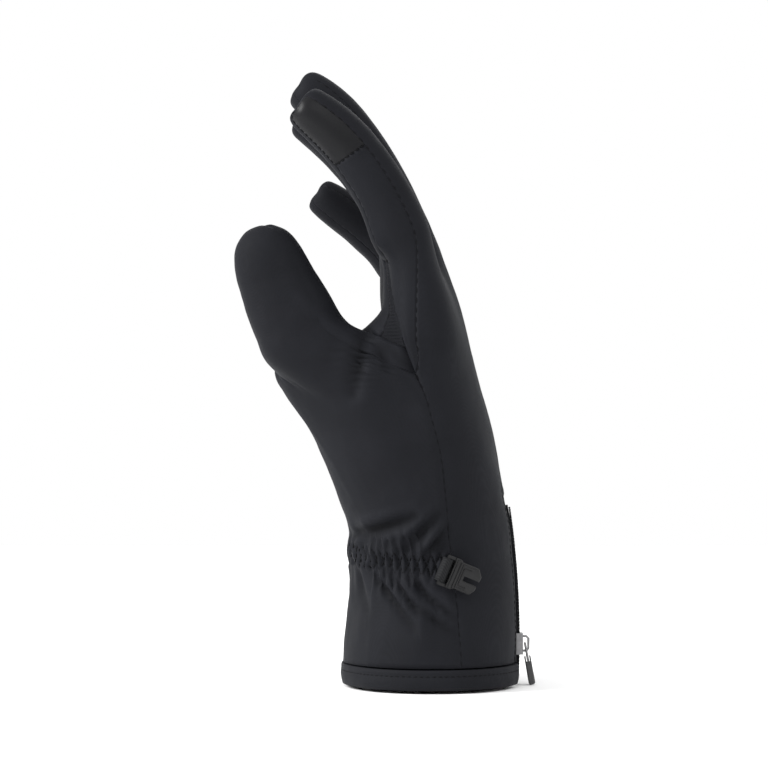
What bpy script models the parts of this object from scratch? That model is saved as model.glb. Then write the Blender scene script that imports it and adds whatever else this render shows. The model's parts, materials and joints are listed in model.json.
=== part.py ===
"""A right-hand winter riding glove of softshell cloth, standing fingers up as it looks when worn.

Metres, +Z up. The back of the hand faces +X, the palm -X, the thumb side -Y, and the origin is the centre of
the cuff mouth. The cloth shell starts as one cage of four-sided faces: rings run up the cuff and hand and split
into the thumb and the four fingers. The cage is smoothed once, gathers and folds are pressed into it, and it is
cut along its seams into panels, each a closed wall. Zip, hem binding and clip are seated on that shell.
"""

import math

import bmesh
import bpy
import numpy as np
from mathutils import Vector
from mathutils.bvhtree import BVHTree

MM = 0.001

# Cloth hand: main sizes
HAND_LENGTH = 177.0 * MM
CUFF_DEPTH = 76.0 * MM
CUFF_WIDTH = 98.0 * MM
WALL = 2.3 * MM
LEAST_WALL = 1.2 * MM
MOST_SWELL = 1.2 * MM
SEAM_GAP = 0.36 * MM
SEAM_DIP = 0.5 * MM
FOLD_DEPTH = 2.0 * MM
GATHER_DEPTH = 0.75 * MM

# Thumb
THUMB_LENGTH = 62.5 * MM
THUMB_HALF = 19.0 * MM

# Hem binding
HEM_HEIGHT = 8.4 * MM
HEM_PROUD = 0.7 * MM
HEM_INSET = 0.6 * MM

# Zip
SLOT_WIDTH = 23.0 * MM
SLOT_ARCH = 3.2 * MM
SLOT_ARCH_WIDTH = 15.0 * MM
TAPE_RECESS = 1.9 * MM
TAPE_THICKNESS = 0.9 * MM
TAPE_START = 1.5 * MM
CHAIN_WIDTH = 6.0 * MM
CHAIN_THICKNESS = 1.8 * MM
CLEARANCE = 0.35 * MM
CHAIN_TOP = CLEARANCE - TAPE_RECESS + CHAIN_THICKNESS
SLIDER_LENGTH = 9.0 * MM
SLIDER_SHELL = 1.1 * MM
SLIDER_HEIGHT_ON_CHAIN = 16.2 * MM
BRIDGE_GAP = 1.9 * MM
BRIDGE_WALL = 0.9 * MM
BRIDGE_WIDTH = 2.0 * MM
LINK_WIRE = 0.9 * MM
LINK_LENGTH = 7.5 * MM
LINK_WIDTH = 5.2 * MM
GRIP_LENGTH = 12.2 * MM
GRIP_WIDTH = 6.6 * MM
GRIP_THICKNESS = 2.7 * MM
GRIP_OVERLAP = 2.3 * MM
PULL_TILT = math.radians(10.0)

# Clip and its webbing loop
CLIP_LENGTH = 16.5 * MM
CLIP_WIDTH = 13.0 * MM
CLIP_THICKNESS = 2.4 * MM
CLIP_BAR = 1.2 * MM
CLIP_BEVEL = 0.3 * MM
CLIP_TURN = math.radians(23.0)
CLIP_X = 3.3 * MM
CLIP_HEIGHT = 50.5 * MM
STRAP_THICKNESS = 0.9 * MM

# Rings of the cuff and hand, from hem to thumb crotch. Height is a share of HAND_LENGTH. Back, thumb, heel, mid
# and seam are X as shares of CUFF_DEPTH: back of the hand, palm on the thumb side, palm on the little-finger
# side, the widest place, and the long seam. Near and far are Y as shares of CUFF_WIDTH. Square is the ring's
# exponent, and spread goes from the even columns of the cuff (0) to the finger columns of the knuckles (1).
HAND_RINGS = [
    # height, back, thumb, heel, mid, seam, near, far, square, spread
    (0.051, 0.493, -0.489, -0.489, 0.000, 0.164, -0.500, 0.500, 2.10, 0.00),
    (0.155, 0.491, -0.465, -0.467, 0.000, 0.150, -0.477, 0.477, 2.10, 0.00),
    (0.257, 0.483, -0.450, -0.440, 0.000, 0.121, -0.452, 0.454, 2.10, 0.00),
    (0.299, 0.474, -0.458, -0.438, 0.000, 0.111, -0.447, 0.449, 2.10, 0.00),
    (0.345, 0.464, -0.480, -0.440, -0.010, 0.099, -0.452, 0.454, 2.15, 0.00),
    (0.395, 0.445, -0.512, -0.425, -0.020, 0.088, -0.468, 0.464, 2.20, 0.05),
    (0.458, 0.414, -0.570, -0.382, -0.035, 0.075, -0.487, 0.478, 2.25, 0.15),
    (0.548, 0.373, -0.670, -0.325, -0.070, 0.050, -0.505, 0.491, 2.35, 0.35),
    (0.638, 0.321, -0.788, -0.285, -0.120, -0.004, -0.515, 0.498, 2.45, 0.68),
    (0.732, 0.259, -0.915, -0.268, -0.170, -0.083, -0.520, 0.500, 2.55, 0.95),
]
SLOT_TOP_RING = 6
ELASTIC_RINGS = (2, 4)

# Rings of the palm above the thumb crotch. Palm is X on the thumb side, and seam_2 the second seam beside the
# index strip. Up is how far the ring lies from the crotch (0) to the finger bases (1).
PALM_RINGS = [
    # up, back, palm, heel, mid, seam, seam_2, near, far, square, spread
    (0.30, 0.214, -0.299, -0.264, -0.058, -0.084, -0.182, -0.513, 0.494, 2.72, 0.97),
    (0.65, 0.152, -0.284, -0.267, -0.057, -0.081, -0.221, -0.502, 0.479, 2.80, 0.98),
    (1.00, 0.068, -0.286, -0.266, -0.088, -0.075, -0.240, -0.493, 0.462, 2.80, 1.00),
]

# Points of the web between the thumb and the hand, from the long seam round to the palm: X as a share of
# CUFF_DEPTH, Y of CUFF_WIDTH, height of HAND_LENGTH.
WEB_LINE = [
    # x, y, height
    (-0.112, -0.512, 0.757),
    (-0.142, -0.500, 0.793),
    (-0.272, -0.460, 0.821),
    (-0.385, -0.345, 0.836),
    (-0.470, -0.180, 0.797),
]

# Where the two columns beside the rib patch lie, between the index finger's border and the second seam.
WEB_SHARES = (0.33, 0.64)

# Places of the finger borders across the hand at the knuckles, as shares of CUFF_WIDTH.
FINGER_BORDERS = (-0.252, -0.003, 0.238)
BORDER_DIP = 2.4 * MM

# One row for each finger: base height as a share of HAND_LENGTH, length, half thickness, half width, sideways
# place of the tip as a share of CUFF_WIDTH, and its lean towards the palm at seven stations from base to tip.
FINGERS = [
    # name, base, length, half_thick, half_wide, tip_y, leans in degrees
    ("index", 0.994, 81.5 * MM, 12.7 * MM, 11.5 * MM, -0.392, (18, 22, 30, 36, 43, 51, 54)),
    ("middle", 1.006, 88.5 * MM, 12.2 * MM, 11.6 * MM, -0.128, (18, 22, 28, 33, 39, 48, 55)),
    ("ring", 0.994, 82.0 * MM, 12.0 * MM, 11.3 * MM, 0.120, (19, 24, 32, 38, 45, 53, 57)),
    ("little", 0.949, 58.5 * MM, 10.4 * MM, 9.9 * MM, 0.362, (29, 37, 46, 50, 53, 54, 55)),
]

# Stations along each finger as shares of its length, thickness and width.
FINGER_ROWS = [
    # along, thick, wide
    (0.13, 0.985, 0.97),
    (0.31, 0.925, 0.97),
    (0.47, 0.895, 0.97),
    (0.62, 0.885, 0.96),
    (0.78, 0.865, 0.95),
    (0.92, 0.78, 0.88),
    (0.99, 0.62, 0.66),
]

# Places round a finger, in degrees from its back towards the little-finger side.
FINGER_ANGLES = (-52, -18, 18, 52, 90, 128, 163, 197, 232, 270)
INDEX_ANGLES = (-66, -28, 12, 52, 90, 128, 156, 181, 206, 250)

# Stations along the thumb: shares of THUMB_LENGTH and THUMB_HALF, and its lean towards the palm in degrees.
THUMB_ROWS = [
    # along, half, flat, lean
    (0.15, 0.975, 0.89, 28),
    (0.31, 0.94, 0.87, 29),
    (0.46, 0.905, 0.85, 27),
    (0.62, 0.835, 0.86, 24),
    (0.78, 0.765, 0.87, 21),
    (0.91, 0.60, 0.88, 18),
    (0.975, 0.34, 0.90, 17),
]
THUMB_BASE = (-0.608, -0.335, 0.755)
THUMB_RING_DROP = 0.55
THUMB_TIP_Y = -0.372
THUMB_ANGLES = (-54, -37, -20, -3, 14, 31, 48, 66, 84, 101, 116, 127, 139, 157, 188, 238)

# Folds pressed into the cloth. Face is the side that shows the fold. A and b are its ends: X as a share of
# CUFF_DEPTH (near, far) or Y of CUFF_WIDTH (palm, back), then height of HAND_LENGTH. Depth is a share of
# FOLD_DEPTH, negative for a ridge, and width a share of CUFF_DEPTH.
FOLDS = [
    # name, face, a_x, a_height, b_x, b_height, depth, width
    ("thumb crotch, palm side", "near", -0.350, 0.810, -0.430, 0.690, 0.90, 0.050),
    ("thumb crotch, middle", "near", -0.310, 0.805, -0.245, 0.750, 0.70, 0.040),
    ("thumb crotch, seam side", "near", -0.250, 0.800, -0.100, 0.733, 0.90, 0.045),
    ("ball of the thumb", "near", -0.520, 0.740, -0.300, 0.600, -0.45, 0.110),
    ("wrist wedge", "near", -0.410, 0.352, -0.110, 0.392, 1.00, 0.060),
    ("wrist crease by the seam", "near", -0.140, 0.322, 0.030, 0.398, 0.80, 0.045),
    ("crease at the clip", "near", -0.020, 0.296, 0.092, 0.366, 0.60, 0.040),
    ("below the elastic, front", "near", -0.410, 0.262, -0.360, 0.190, 0.60, 0.045),
    ("below the elastic, long", "near", -0.325, 0.252, -0.100, 0.140, 0.70, 0.050),
    ("below the elastic, to the seam", "near", -0.205, 0.245, 0.130, 0.122, 0.75, 0.045),
    ("under the clip", "near", -0.080, 0.234, 0.140, 0.148, 0.60, 0.045),
    ("palm wrist wedge", "palm", -0.330, 0.372, 0.120, 0.356, 0.90, 0.060),
    ("palm wrist, far", "palm", 0.100, 0.352, 0.430, 0.385, 0.70, 0.055),
    ("palm cuff, near", "palm", -0.260, 0.240, -0.180, 0.130, 0.60, 0.050),
    ("palm cuff, middle", "palm", -0.020, 0.240, 0.060, 0.120, 0.65, 0.055),
    ("palm cuff, far", "palm", 0.220, 0.240, 0.330, 0.140, 0.60, 0.050),
    ("ball of the thumb, palm", "palm", -0.080, 0.800, 0.020, 0.520, 0.90, 0.080),
    ("across the palm", "palm", -0.020, 0.840, 0.420, 0.880, 0.70, 0.060),
    ("heel", "palm", 0.080, 0.560, 0.400, 0.500, 0.50, 0.070),
    ("far wrist", "far", -0.300, 0.360, 0.120, 0.350, 0.80, 0.060),
    ("far cuff", "far", -0.200, 0.245, 0.060, 0.135, 0.60, 0.050),
    ("far edge of the hand", "far", -0.240, 0.700, 0.060, 0.640, 0.45, 0.060),
    ("back, above the zip", "back", -0.260, 0.560, 0.060, 0.500, 0.40, 0.070),
    ("back, beside the zip", "back", 0.220, 0.340, 0.400, 0.290, 0.45, 0.060),
]

DORSAL = 12
ULNAR = 14
PALMAR_SPLIT = 22
SECOND_SEAM = 26
PALM_COLUMNS = 28
HAND_COLUMNS = 32
THUMB_COLUMNS = 16
TOUCH_START_ROW = 4

COLOURS = {
    "softshell": (0.021, 0.023, 0.027, 0.85, 0.0),
    "patch": (0.030, 0.031, 0.034, 0.55, 0.0),
    "knit": (0.012, 0.013, 0.016, 0.95, 0.0),
    "binding": (0.016, 0.017, 0.020, 0.85, 0.0),
    "tape": (0.010, 0.010, 0.012, 0.90, 0.0),
    "metal": (0.45, 0.45, 0.46, 0.35, 1.0),
    "rubber": (0.080, 0.082, 0.085, 0.60, 0.0),
    "plastic": (0.050, 0.051, 0.054, 0.45, 0.0),
}

PANEL_FINISH = {
    "back_panel": "softshell",
    "palm_panel": "softshell",
    "thumb_panel": "softshell",
    "thumb_inner": "softshell",
    "index_side": "softshell",
    "touch_patch": "patch",
    "rib_patch": "knit",
    "fourchette_1": "softshell",
    "fourchette_2": "softshell",
    "fourchette_3": "softshell",
    "zip_tape_near": "tape",
    "zip_tape_far": "tape",
}
TAPES = ("zip_tape_near", "zip_tape_far")


def clear_scene():
    for obj in list(bpy.data.objects):
        bpy.data.objects.remove(obj, do_unlink=True)


def finish(name):
    """The part's own material, in the colour of its finish."""
    red, green, blue, roughness, metallic = COLOURS[name]
    material = bpy.data.materials.new(name)
    material.use_nodes = True
    shader = material.node_tree.nodes["Principled BSDF"]
    shader.inputs["Base Color"].default_value = (red, green, blue, 1.0)
    shader.inputs["Roughness"].default_value = roughness
    shader.inputs["Metallic"].default_value = metallic
    return material


def add_object(name, points, faces, finish_name, sharp=40.0):
    """A named object from points and outward faces, shaded smooth with sharp edges kept."""
    mesh = bpy.data.meshes.new(name)
    mesh.from_pydata([tuple(point) for point in points], [], faces)
    mesh.materials.append(finish(finish_name))
    mesh.shade_smooth()
    mesh.set_sharp_from_angle(angle=math.radians(sharp))
    obj = bpy.data.objects.new(name, mesh)
    bpy.context.scene.collection.objects.link(obj)
    return obj


def signed_power(value, power):
    return math.copysign(abs(value) ** power, value)


def mix(a, b, share):
    return a + (b - a) * share


def ease(value):
    value = min(max(value, 0.0), 1.0)
    return value * value * (3.0 - 2.0 * value)


class Ring:
    """One section of the cuff or hand, a squared oval whose palm side is deeper at the thumb."""

    def __init__(self, row, thumb_key):
        self.back = row["back"] * CUFF_DEPTH
        self.thumb = row[thumb_key] * CUFF_DEPTH
        self.heel = row["heel"] * CUFF_DEPTH
        self.mid = row["mid"] * CUFF_DEPTH
        self.near = row["near"] * CUFF_WIDTH
        self.far = row["far"] * CUFF_WIDTH
        self.square = row["square"]

    def point(self, angle, height):
        across = signed_power(math.cos(angle), 2.0 / self.square)
        along = signed_power(math.sin(angle), 2.0 / self.square)
        palm = mix(self.heel, self.thumb, ease(0.35 - 1.1 * along))
        depth = self.back - self.mid if across > 0.0 else self.mid - palm
        width = self.far if along > 0.0 else -self.near
        return np.array([self.mid + depth * across, width * along, height])

    def angle_at_x(self, x):
        """The angle on the near side where the ring passes X."""
        depth = self.back - self.mid if x > self.mid else self.mid - self.thumb
        share = max(min((x - self.mid) / depth, 0.98), -0.98)
        return -math.acos(signed_power(share, self.square / 2.0))

    def angle_at_y(self, y, palmar):
        width = self.far if y > 0.0 else -self.near
        share = max(min(y / width, 0.98), -0.98)
        angle = math.asin(signed_power(share, self.square / 2.0))
        return math.pi - angle if palmar else angle


def spaced(start, end, count):
    """Values between two ends, both left out."""
    return [mix(start, end, (step + 1) / (count + 1)) for step in range(count)]


def knuckle_places():
    """Y of each column across the knuckles: three columns to a finger."""
    borders = [share * CUFF_WIDTH for share in FINGER_BORDERS]
    places = []
    for start, end in zip(borders, borders[1:]):
        places += [start] + spaced(start, end, 2)
    return borders, places + [borders[-1]]


def hand_angles(ring, seam, spread):
    """Angles of the columns from the long seam over the back and the far edge to the palm's thumb seam."""
    start = ring.angle_at_x(seam)
    half_slot = SLOT_WIDTH / 2.0
    slot = [ring.angle_at_y(y, False) for y in (-half_slot, 0.0, half_slot)]
    corner, edge = math.radians(64.0), math.radians(110.0)
    even = [start] + spaced(start, slot[0], 4) + slot + spaced(slot[2], corner, 4) + [corner]
    even += [(corner + edge) / 2.0, edge] + spaced(edge, math.radians(222.0), 7) + [math.radians(222.0)]

    borders, inner = knuckle_places()
    back = [ring.angle_at_y(y, False) for y in inner]
    near_back = spaced(start, back[0], 2)
    far_back = spaced(back[-1], corner, 2)
    palm = [ring.angle_at_y(y, True) for y in reversed(inner)]
    far_palm = spaced(edge, palm[0], 2)
    knuckle = [start] + near_back + back + far_back + [corner, (corner + edge) / 2.0, edge]
    knuckle += far_palm + palm[:-1]
    return [mix(a, b, spread) for a, b in zip(even, knuckle)]


def base_height(column):
    """Height of the finger base on each column of the palm's last ring."""
    shares = [row[1] * HAND_LENGTH for row in FINGERS]
    if column <= DORSAL:
        finger = column / 3.0
    elif column <= ULNAR:
        finger = 4.0
    elif column <= SECOND_SEAM:
        finger = (SECOND_SEAM - column) / 3.0
    else:
        finger = 0.0
    low = min(int(finger), 3)
    if abs(finger - round(finger)) < 1e-6 and 0 < round(finger) < 4:
        return (shares[round(finger) - 1] + shares[round(finger)]) / 2.0 - BORDER_DIP / 2.0
    return shares[low]


class Cage:
    """Points and four-sided faces of the shell, each face with the panel it belongs to."""

    def __init__(self):
        self.points = []
        self.faces = []
        self.panels = []
        self.ring_of = {}
        self.creases = set()

    def add(self, point):
        self.points.append(np.array(point, dtype=float))
        return len(self.points) - 1

    def face(self, corners, panel):
        self.faces.append(tuple(corners))
        self.panels.append(panel)

    def band(self, lower, upper, panel_of):
        """Faces between two closed rings of equal count."""
        count = len(lower)
        for column in range(count):
            after = (column + 1) % count
            self.face((lower[column], lower[after], upper[after], upper[column]), panel_of(column))


def named_rows(table, names):
    return [dict(zip(names, row)) for row in table]


def hand_panel(row):
    def panel_of(column):
        if row < SLOT_TOP_RING and column == 5:
            return "zip_tape_near"
        if row < SLOT_TOP_RING and column == 6:
            return "zip_tape_far"
        if column < ULNAR:
            return "back_panel"
        return "palm_panel" if column < PALMAR_SPLIT else "thumb_panel"
    return panel_of


def palm_panel_of(column):
    if column < ULNAR:
        return "back_panel"
    if column < SECOND_SEAM - 1:
        return "palm_panel"
    return "rib_patch" if column < SECOND_SEAM else "index_side"


def build_hand(cage):
    """Rings from the hem to the thumb crotch."""
    names = ("height", "back", "thumb", "heel", "mid", "seam", "near", "far", "square", "spread")
    rings = []
    for number, row in enumerate(named_rows(HAND_RINGS, names)):
        ring = Ring(row, "thumb")
        angles = hand_angles(ring, row["seam"] * CUFF_DEPTH, row["spread"])
        last = angles[0] + 2.0 * math.pi
        angles += spaced(angles[PALMAR_SPLIT], last, HAND_COLUMNS - PALMAR_SPLIT - 1)
        height = row["height"] * HAND_LENGTH
        members = []
        for column, angle in enumerate(angles):
            point = ring.point(angle, height)
            if number == SLOT_TOP_RING and column in (5, 7):
                point = ring.point(ring.angle_at_y((column - 6) * SLOT_ARCH_WIDTH / 2.0, False), height - SLOT_ARCH)
            if number == len(HAND_RINGS) - 1 and column > PALMAR_SPLIT:
                across = (column - PALMAR_SPLIT) / (HAND_COLUMNS - PALMAR_SPLIT)
                below = cage.points[rings[-1][column]]
                point = mix(point, below, THUMB_RING_DROP * math.sin(math.pi * across) ** 2)
            members.append(cage.add(point))
            cage.ring_of[members[-1]] = number
        if rings:
            cage.band(rings[-1], members, hand_panel(number - 1))
        rings.append(members)
    start = []
    for column in (5, 6, 7):
        point = cage.points[rings[0][column]].copy()
        point[2] = TAPE_START
        start.append(cage.add(point))
    for side, panel in enumerate(TAPES):
        first = rings[0][5 + side]
        second = rings[0][6 + side]
        cage.face((start[side], start[side + 1], second, first), panel)
    return rings, start


def build_palm(cage, top):
    """Rings from the thumb crotch to the finger bases. Returns the last ring and the web's points."""
    web = []
    for x, y, height in WEB_LINE:
        web.append(cage.add((x * CUFF_DEPTH, y * CUFF_WIDTH, height * HAND_LENGTH)))
    lower = top[: PALMAR_SPLIT + 1] + web[::-1]
    start_heights = [cage.points[index][2] for index in lower]
    names = ("up", "back", "palm", "heel", "mid", "seam", "seam_2", "near", "far", "square", "spread")
    for row in named_rows(PALM_RINGS, names):
        ring = Ring(row, "palm")
        angles = hand_angles(ring, row["seam"] * CUFF_DEPTH, row["spread"])
        border = ring.angle_at_y(FINGER_BORDERS[0] * CUFF_WIDTH, True)
        second = ring.angle_at_x(row["seam_2"] * CUFF_DEPTH) + 2.0 * math.pi
        after = angles[0] + 2.0 * math.pi
        beside = [mix(border, second, share) for share in WEB_SHARES]
        angles += [border] + beside + [second, (second + after) / 2.0]
        members = []
        for column, angle in enumerate(angles):
            height = mix(start_heights[column], base_height(column), row["up"])
            point = ring.point(angle, height)
            if column in (3, 6, 9):
                point[0] -= BORDER_DIP * row["up"] ** 2
            if column in (17, 20, 23):
                point[0] += BORDER_DIP * row["up"] ** 2
            members.append(cage.add(point))
        cage.band(lower, members, palm_panel_of)
        lower = members
    line = [top[0]] + web + [top[PALMAR_SPLIT]]
    cage.creases.update((min(a, b), max(a, b)) for a, b in zip(line, line[1:]))
    return lower, web


def tube_point(centre, lean, side, half_thick, half_wide, angle, square):
    """A point of a finger ring: its thickness lies in the plane in which the finger bends."""
    out = np.array([math.cos(lean), 0.0, math.sin(lean)])
    across = np.array([0.0, 1.0, 0.0])
    thick = signed_power(math.cos(angle), 2.0 / square)
    wide = signed_power(math.sin(angle), 2.0 / square)
    return centre + out * half_thick * thick + across * (side + half_wide * wide)


def build_fingers(cage, last):
    """Each finger grows from its part of the palm's last ring. Neighbours share their crotch point."""
    crotches = []
    for border in (3, 6, 9):
        back, palm = cage.points[last[border]], cage.points[last[SECOND_SEAM - border]]
        middle = (back + palm) / 2.0
        middle[2] = min(back[2], palm[2]) - BORDER_DIP / 4.0
        crotches.append(cage.add(middle))
    sides = [last[27]] + crotches + [last[13]]
    for number, (name, base, length, half_thick, half_wide, tip_y, leans) in enumerate(FINGERS):
        columns = [3 * number + step for step in range(4)]
        back = [last[column] for column in columns]
        palm = [last[SECOND_SEAM - column] for column in reversed(columns)]
        ring = back + [sides[number + 1]] + palm + [sides[number]]
        points = np.array([cage.points[index] for index in ring])
        centre = (points.max(axis=0) + points.min(axis=0)) / 2.0
        centre[2] = base * HAND_LENGTH
        start_y = centre[1]
        centre[1] = 0.0
        angles = INDEX_ANGLES if number == 0 else FINGER_ANGLES
        before = 0.0
        for station, (along, thick, wide) in enumerate(FINGER_ROWS):
            lean = math.radians(leans[station])
            step = (along - before) * length
            centre = centre + np.array([-math.sin(lean), 0.0, math.cos(lean)]) * step
            before = along
            side = mix(start_y, tip_y * CUFF_WIDTH, along)
            upper = []
            for angle in angles:
                upper.append(cage.add(tube_point(
                    centre, lean, side, half_thick * thick, half_wide * wide, math.radians(angle), 2.25)))
            cage.band(ring, upper, finger_panel(number, station))
            ring = upper
        close_finger(cage, ring, lean, (1.0 - before) * length, number)


def finger_panel(number, station):
    def panel_of(column):
        if column < 3:
            return "back_panel"
        if column in (3, 4):
            return "fourchette_%d" % (number + 1) if number < 3 else "back_panel"
        if column in (5, 6, 7):
            return "palm_panel"
        if number > 0:
            return "fourchette_%d" % number
        return "touch_patch" if station >= TOUCH_START_ROW else "index_side"
    return panel_of


def close_finger(cage, ring, lean, reach, number):
    """The tip: two inner points join the back and palm halves along a seam over the end."""
    points = [cage.points[index] for index in ring]
    centre = sum(points) / len(points)
    ahead = np.array([-math.sin(lean), 0.0, math.cos(lean)]) * reach
    first = cage.add(mix(centre, points[9], 0.34) + ahead)
    second = cage.add(mix(centre, points[4], 0.34) + ahead)
    seam = [ring[9], first, second, ring[4]]
    for column in range(3):
        cage.face((ring[column], ring[column + 1], seam[column + 1], seam[column]), "back_panel")
    for column in range(3):
        palm = ring[5 + column], ring[6 + column]
        cage.face((palm[0], palm[1], seam[2 - column], seam[3 - column]), "palm_panel")


def build_thumb(cage, top, web):
    """Rings of the thumb, from the crotch to a tip closed by a four by four patch."""
    ring = top[PALMAR_SPLIT:] + [top[0]] + web
    centre = np.array([THUMB_BASE[0] * CUFF_DEPTH, 0.0, THUMB_BASE[2] * HAND_LENGTH])
    start_y = THUMB_BASE[1] * CUFF_WIDTH
    before = 0.0
    names = ("along", "half", "flat", "lean")
    for row in named_rows(THUMB_ROWS, names):
        lean = math.radians(row["lean"])
        ahead = np.array([-math.sin(lean), 0.0, math.cos(lean)])
        centre = centre + ahead * (row["along"] - before) * THUMB_LENGTH
        before = row["along"]
        outward = np.array([-math.cos(lean), 0.0, -math.sin(lean)])
        side = mix(start_y, THUMB_TIP_Y * CUFF_WIDTH, before)
        half = row["half"] * THUMB_HALF
        upper = []
        for place, degrees in enumerate(THUMB_ANGLES):
            angle = math.radians(mix(degrees, 360.0 * place / THUMB_COLUMNS - 88.0, row["along"]))
            point = centre + outward * half * signed_power(math.cos(angle), 0.92)
            point[1] = side - half * row["flat"] * signed_power(math.sin(angle), 0.92)
            upper.append(cage.add(point))
        cage.band(ring, upper, thumb_panel_of)
        ring = upper
    close_thumb(cage, ring, ahead * (1.0 - before) * THUMB_LENGTH)


def thumb_panel_of(column):
    return "thumb_panel" if column < 10 else "thumb_inner"


def close_thumb(cage, ring, reach):
    size = 4
    grid = {}
    border = [(i, 0) for i in range(size)] + [(size, i) for i in range(size)]
    border += [(size - i, size) for i in range(size)] + [(0, size - i) for i in range(size)]
    for place, index in zip(border, ring):
        grid[place] = index
    for i in range(1, size):
        for j in range(1, size):
            a, b = i / size, j / size
            point = mix(cage.points[grid[(0, j)]], cage.points[grid[(size, j)]], a)
            point = (point + mix(cage.points[grid[(i, 0)]], cage.points[grid[(i, size)]], b)) / 2.0
            bulge = 16.0 * a * (1.0 - a) * b * (1.0 - b)
            grid[(i, j)] = cage.add(point + reach * math.sqrt(bulge))
    for i in range(size):
        for j in range(size):
            corners = (grid[(i, j)], grid[(i + 1, j)], grid[(i + 1, j + 1)], grid[(i, j + 1)])
            panel = "thumb_inner" if i + size - j <= 2 else "thumb_panel"
            cage.face(corners, panel)


class Shell:
    """The smoothed cage: old points first, then one point for each edge and one for each face."""

    def __init__(self, cage):
        self.faces = cage.faces
        self.panels = cage.panels
        edges = {}
        for face in cage.faces:
            for a, b in zip(face, face[1:] + face[:1]):
                edges.setdefault((min(a, b), max(a, b)), len(edges))
        self.edges = edges
        self.creases = np.array([pair in cage.creases for pair in edges])
        self.coarse = len(cage.points)
        self.fine = []
        for number, face in enumerate(cage.faces):
            centre = self.coarse + len(edges) + number
            middles = [self.middle(a, b) for a, b in zip(face, face[1:] + face[:1])]
            for corner in range(4):
                self.fine.append((face[corner], middles[corner], centre, middles[corner - 1]))
        self.points = self.fit(cage)
        self.normals, self.edge_normals = self.find_normals()
        self.fine_lined = set()
        self.split_edges = set()

    def middle(self, a, b):
        return self.coarse + self.edges[(min(a, b), max(a, b))]

    def fit(self, cage):
        """The smoothed surface through the cage's points: one swelling of the cage, then the rest is shared out."""
        target = np.array(cage.points)
        swell = target - self.subdivide(target)[: self.coarse]
        size = np.maximum(np.linalg.norm(swell, axis=1), 1e-9)
        swell *= np.minimum(1.0, MOST_SWELL / size)[:, None]
        smooth = self.subdivide(target + swell)
        rest = target - smooth[: self.coarse]
        edges = np.array(list(self.edges))
        fitted = smooth + np.concatenate([rest, rest[edges].mean(axis=1), rest[np.array(self.faces)].mean(axis=1)])
        fitted[self.coarse + np.flatnonzero(self.creases)] = target[edges[self.creases]].mean(axis=1)
        return fitted

    def subdivide(self, points):
        """One step of Catmull-Clark smoothing."""
        faces = np.array(self.faces)
        edges = np.array(list(self.edges))
        count = len(points)
        centres = points[faces].mean(axis=1)
        ends = points[edges]
        face_sum = np.zeros((len(edges), 3))
        face_count = np.zeros(len(edges))
        for corner in range(4):
            pairs = np.stack([faces[:, corner], faces[:, (corner + 1) % 4]], axis=1)
            ids = np.array([self.edges[(min(a, b), max(a, b))] for a, b in pairs])
            np.add.at(face_sum, ids, centres)
            np.add.at(face_count, ids, 1.0)
        border = (face_count < 2) | self.creases
        middles = ends.mean(axis=1)
        inner = ~border
        smooth_middles = middles.copy()
        smooth_middles[inner] = (ends[inner].sum(axis=1) + face_sum[inner]) / 4.0

        near_faces = np.zeros((count, 3))
        valence = np.zeros(count)
        for corner in range(4):
            np.add.at(near_faces, faces[:, corner], centres)
            np.add.at(valence, faces[:, corner], 1.0)
        near_edges = np.zeros((count, 3))
        edge_count = np.zeros(count)
        border_sum = np.zeros((count, 3))
        on_border = np.zeros(count)
        for end in range(2):
            np.add.at(near_edges, edges[:, end], middles)
            np.add.at(edge_count, edges[:, end], 1.0)
            np.add.at(border_sum, edges[border, end], points[edges[border, 1 - end]])
            np.add.at(on_border, edges[border, end], 1.0)
        valence_column = valence[:, None]
        new = near_faces / valence_column + 2.0 * near_edges / edge_count[:, None]
        new = (new + (valence_column - 3.0) * points) / valence_column
        held = on_border == 2
        new[held] = 0.75 * points[held] + 0.125 * border_sum[held]
        return np.concatenate([new, smooth_middles, centres])

    def deep_diagonal(self, face):
        """True where an inner face is split from its first to its third corner, as the deeper diagonal."""
        a, b, c, d = (self.points[index] for index in face)
        outward = sum(self.normals[index] for index in face)
        return float(np.dot(a + c - b - d, outward)) < 0.0

    def is_split(self, a, b):
        return (min(a, b), max(a, b)) in self.split_edges

    def find_normals(self):
        """Normals of the points, and of the short edges as the sum of their two faces' normals."""
        normals = np.zeros_like(self.points)
        edge_normals = {}
        for face in self.fine:
            a, b, c, d = (self.points[index] for index in face)
            area = np.cross(c - a, d - b)
            unit = area / np.linalg.norm(area)
            for index, after in zip(face, face[1:] + face[:1]):
                normals[index] += unit
                key = (min(index, after), max(index, after))
                edge_normals[key] = edge_normals.get(key, 0.0) + unit
        return normals / np.linalg.norm(normals, axis=1)[:, None], edge_normals


def line_shell(shell, pressed):
    """Marks the cage faces that need a fine inner side: there one flat face would come too near the outer cloth."""
    first_centre = shell.coarse + len(shell.edges)
    for number, face in enumerate(shell.faces):
        pairs = [(min(a, b), max(a, b)) for a, b in zip(face, face[1:] + face[:1])]
        tight = any(shell.creases[shell.edges[pair]] for pair in pairs)
        for corners, index in [(pair, shell.middle(*pair)) for pair in pairs] + [(face, first_centre + number)]:
            lined = [shell.points[corner] - shell.normals[corner] * WALL for corner in corners]
            flat = sum(lined) / len(lined)
            tight = tight or np.dot(pressed[index] - flat, shell.normals[index]) < LEAST_WALL
        if tight:
            shell.fine_lined.add(number)
            shell.split_edges.update(pairs)


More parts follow.
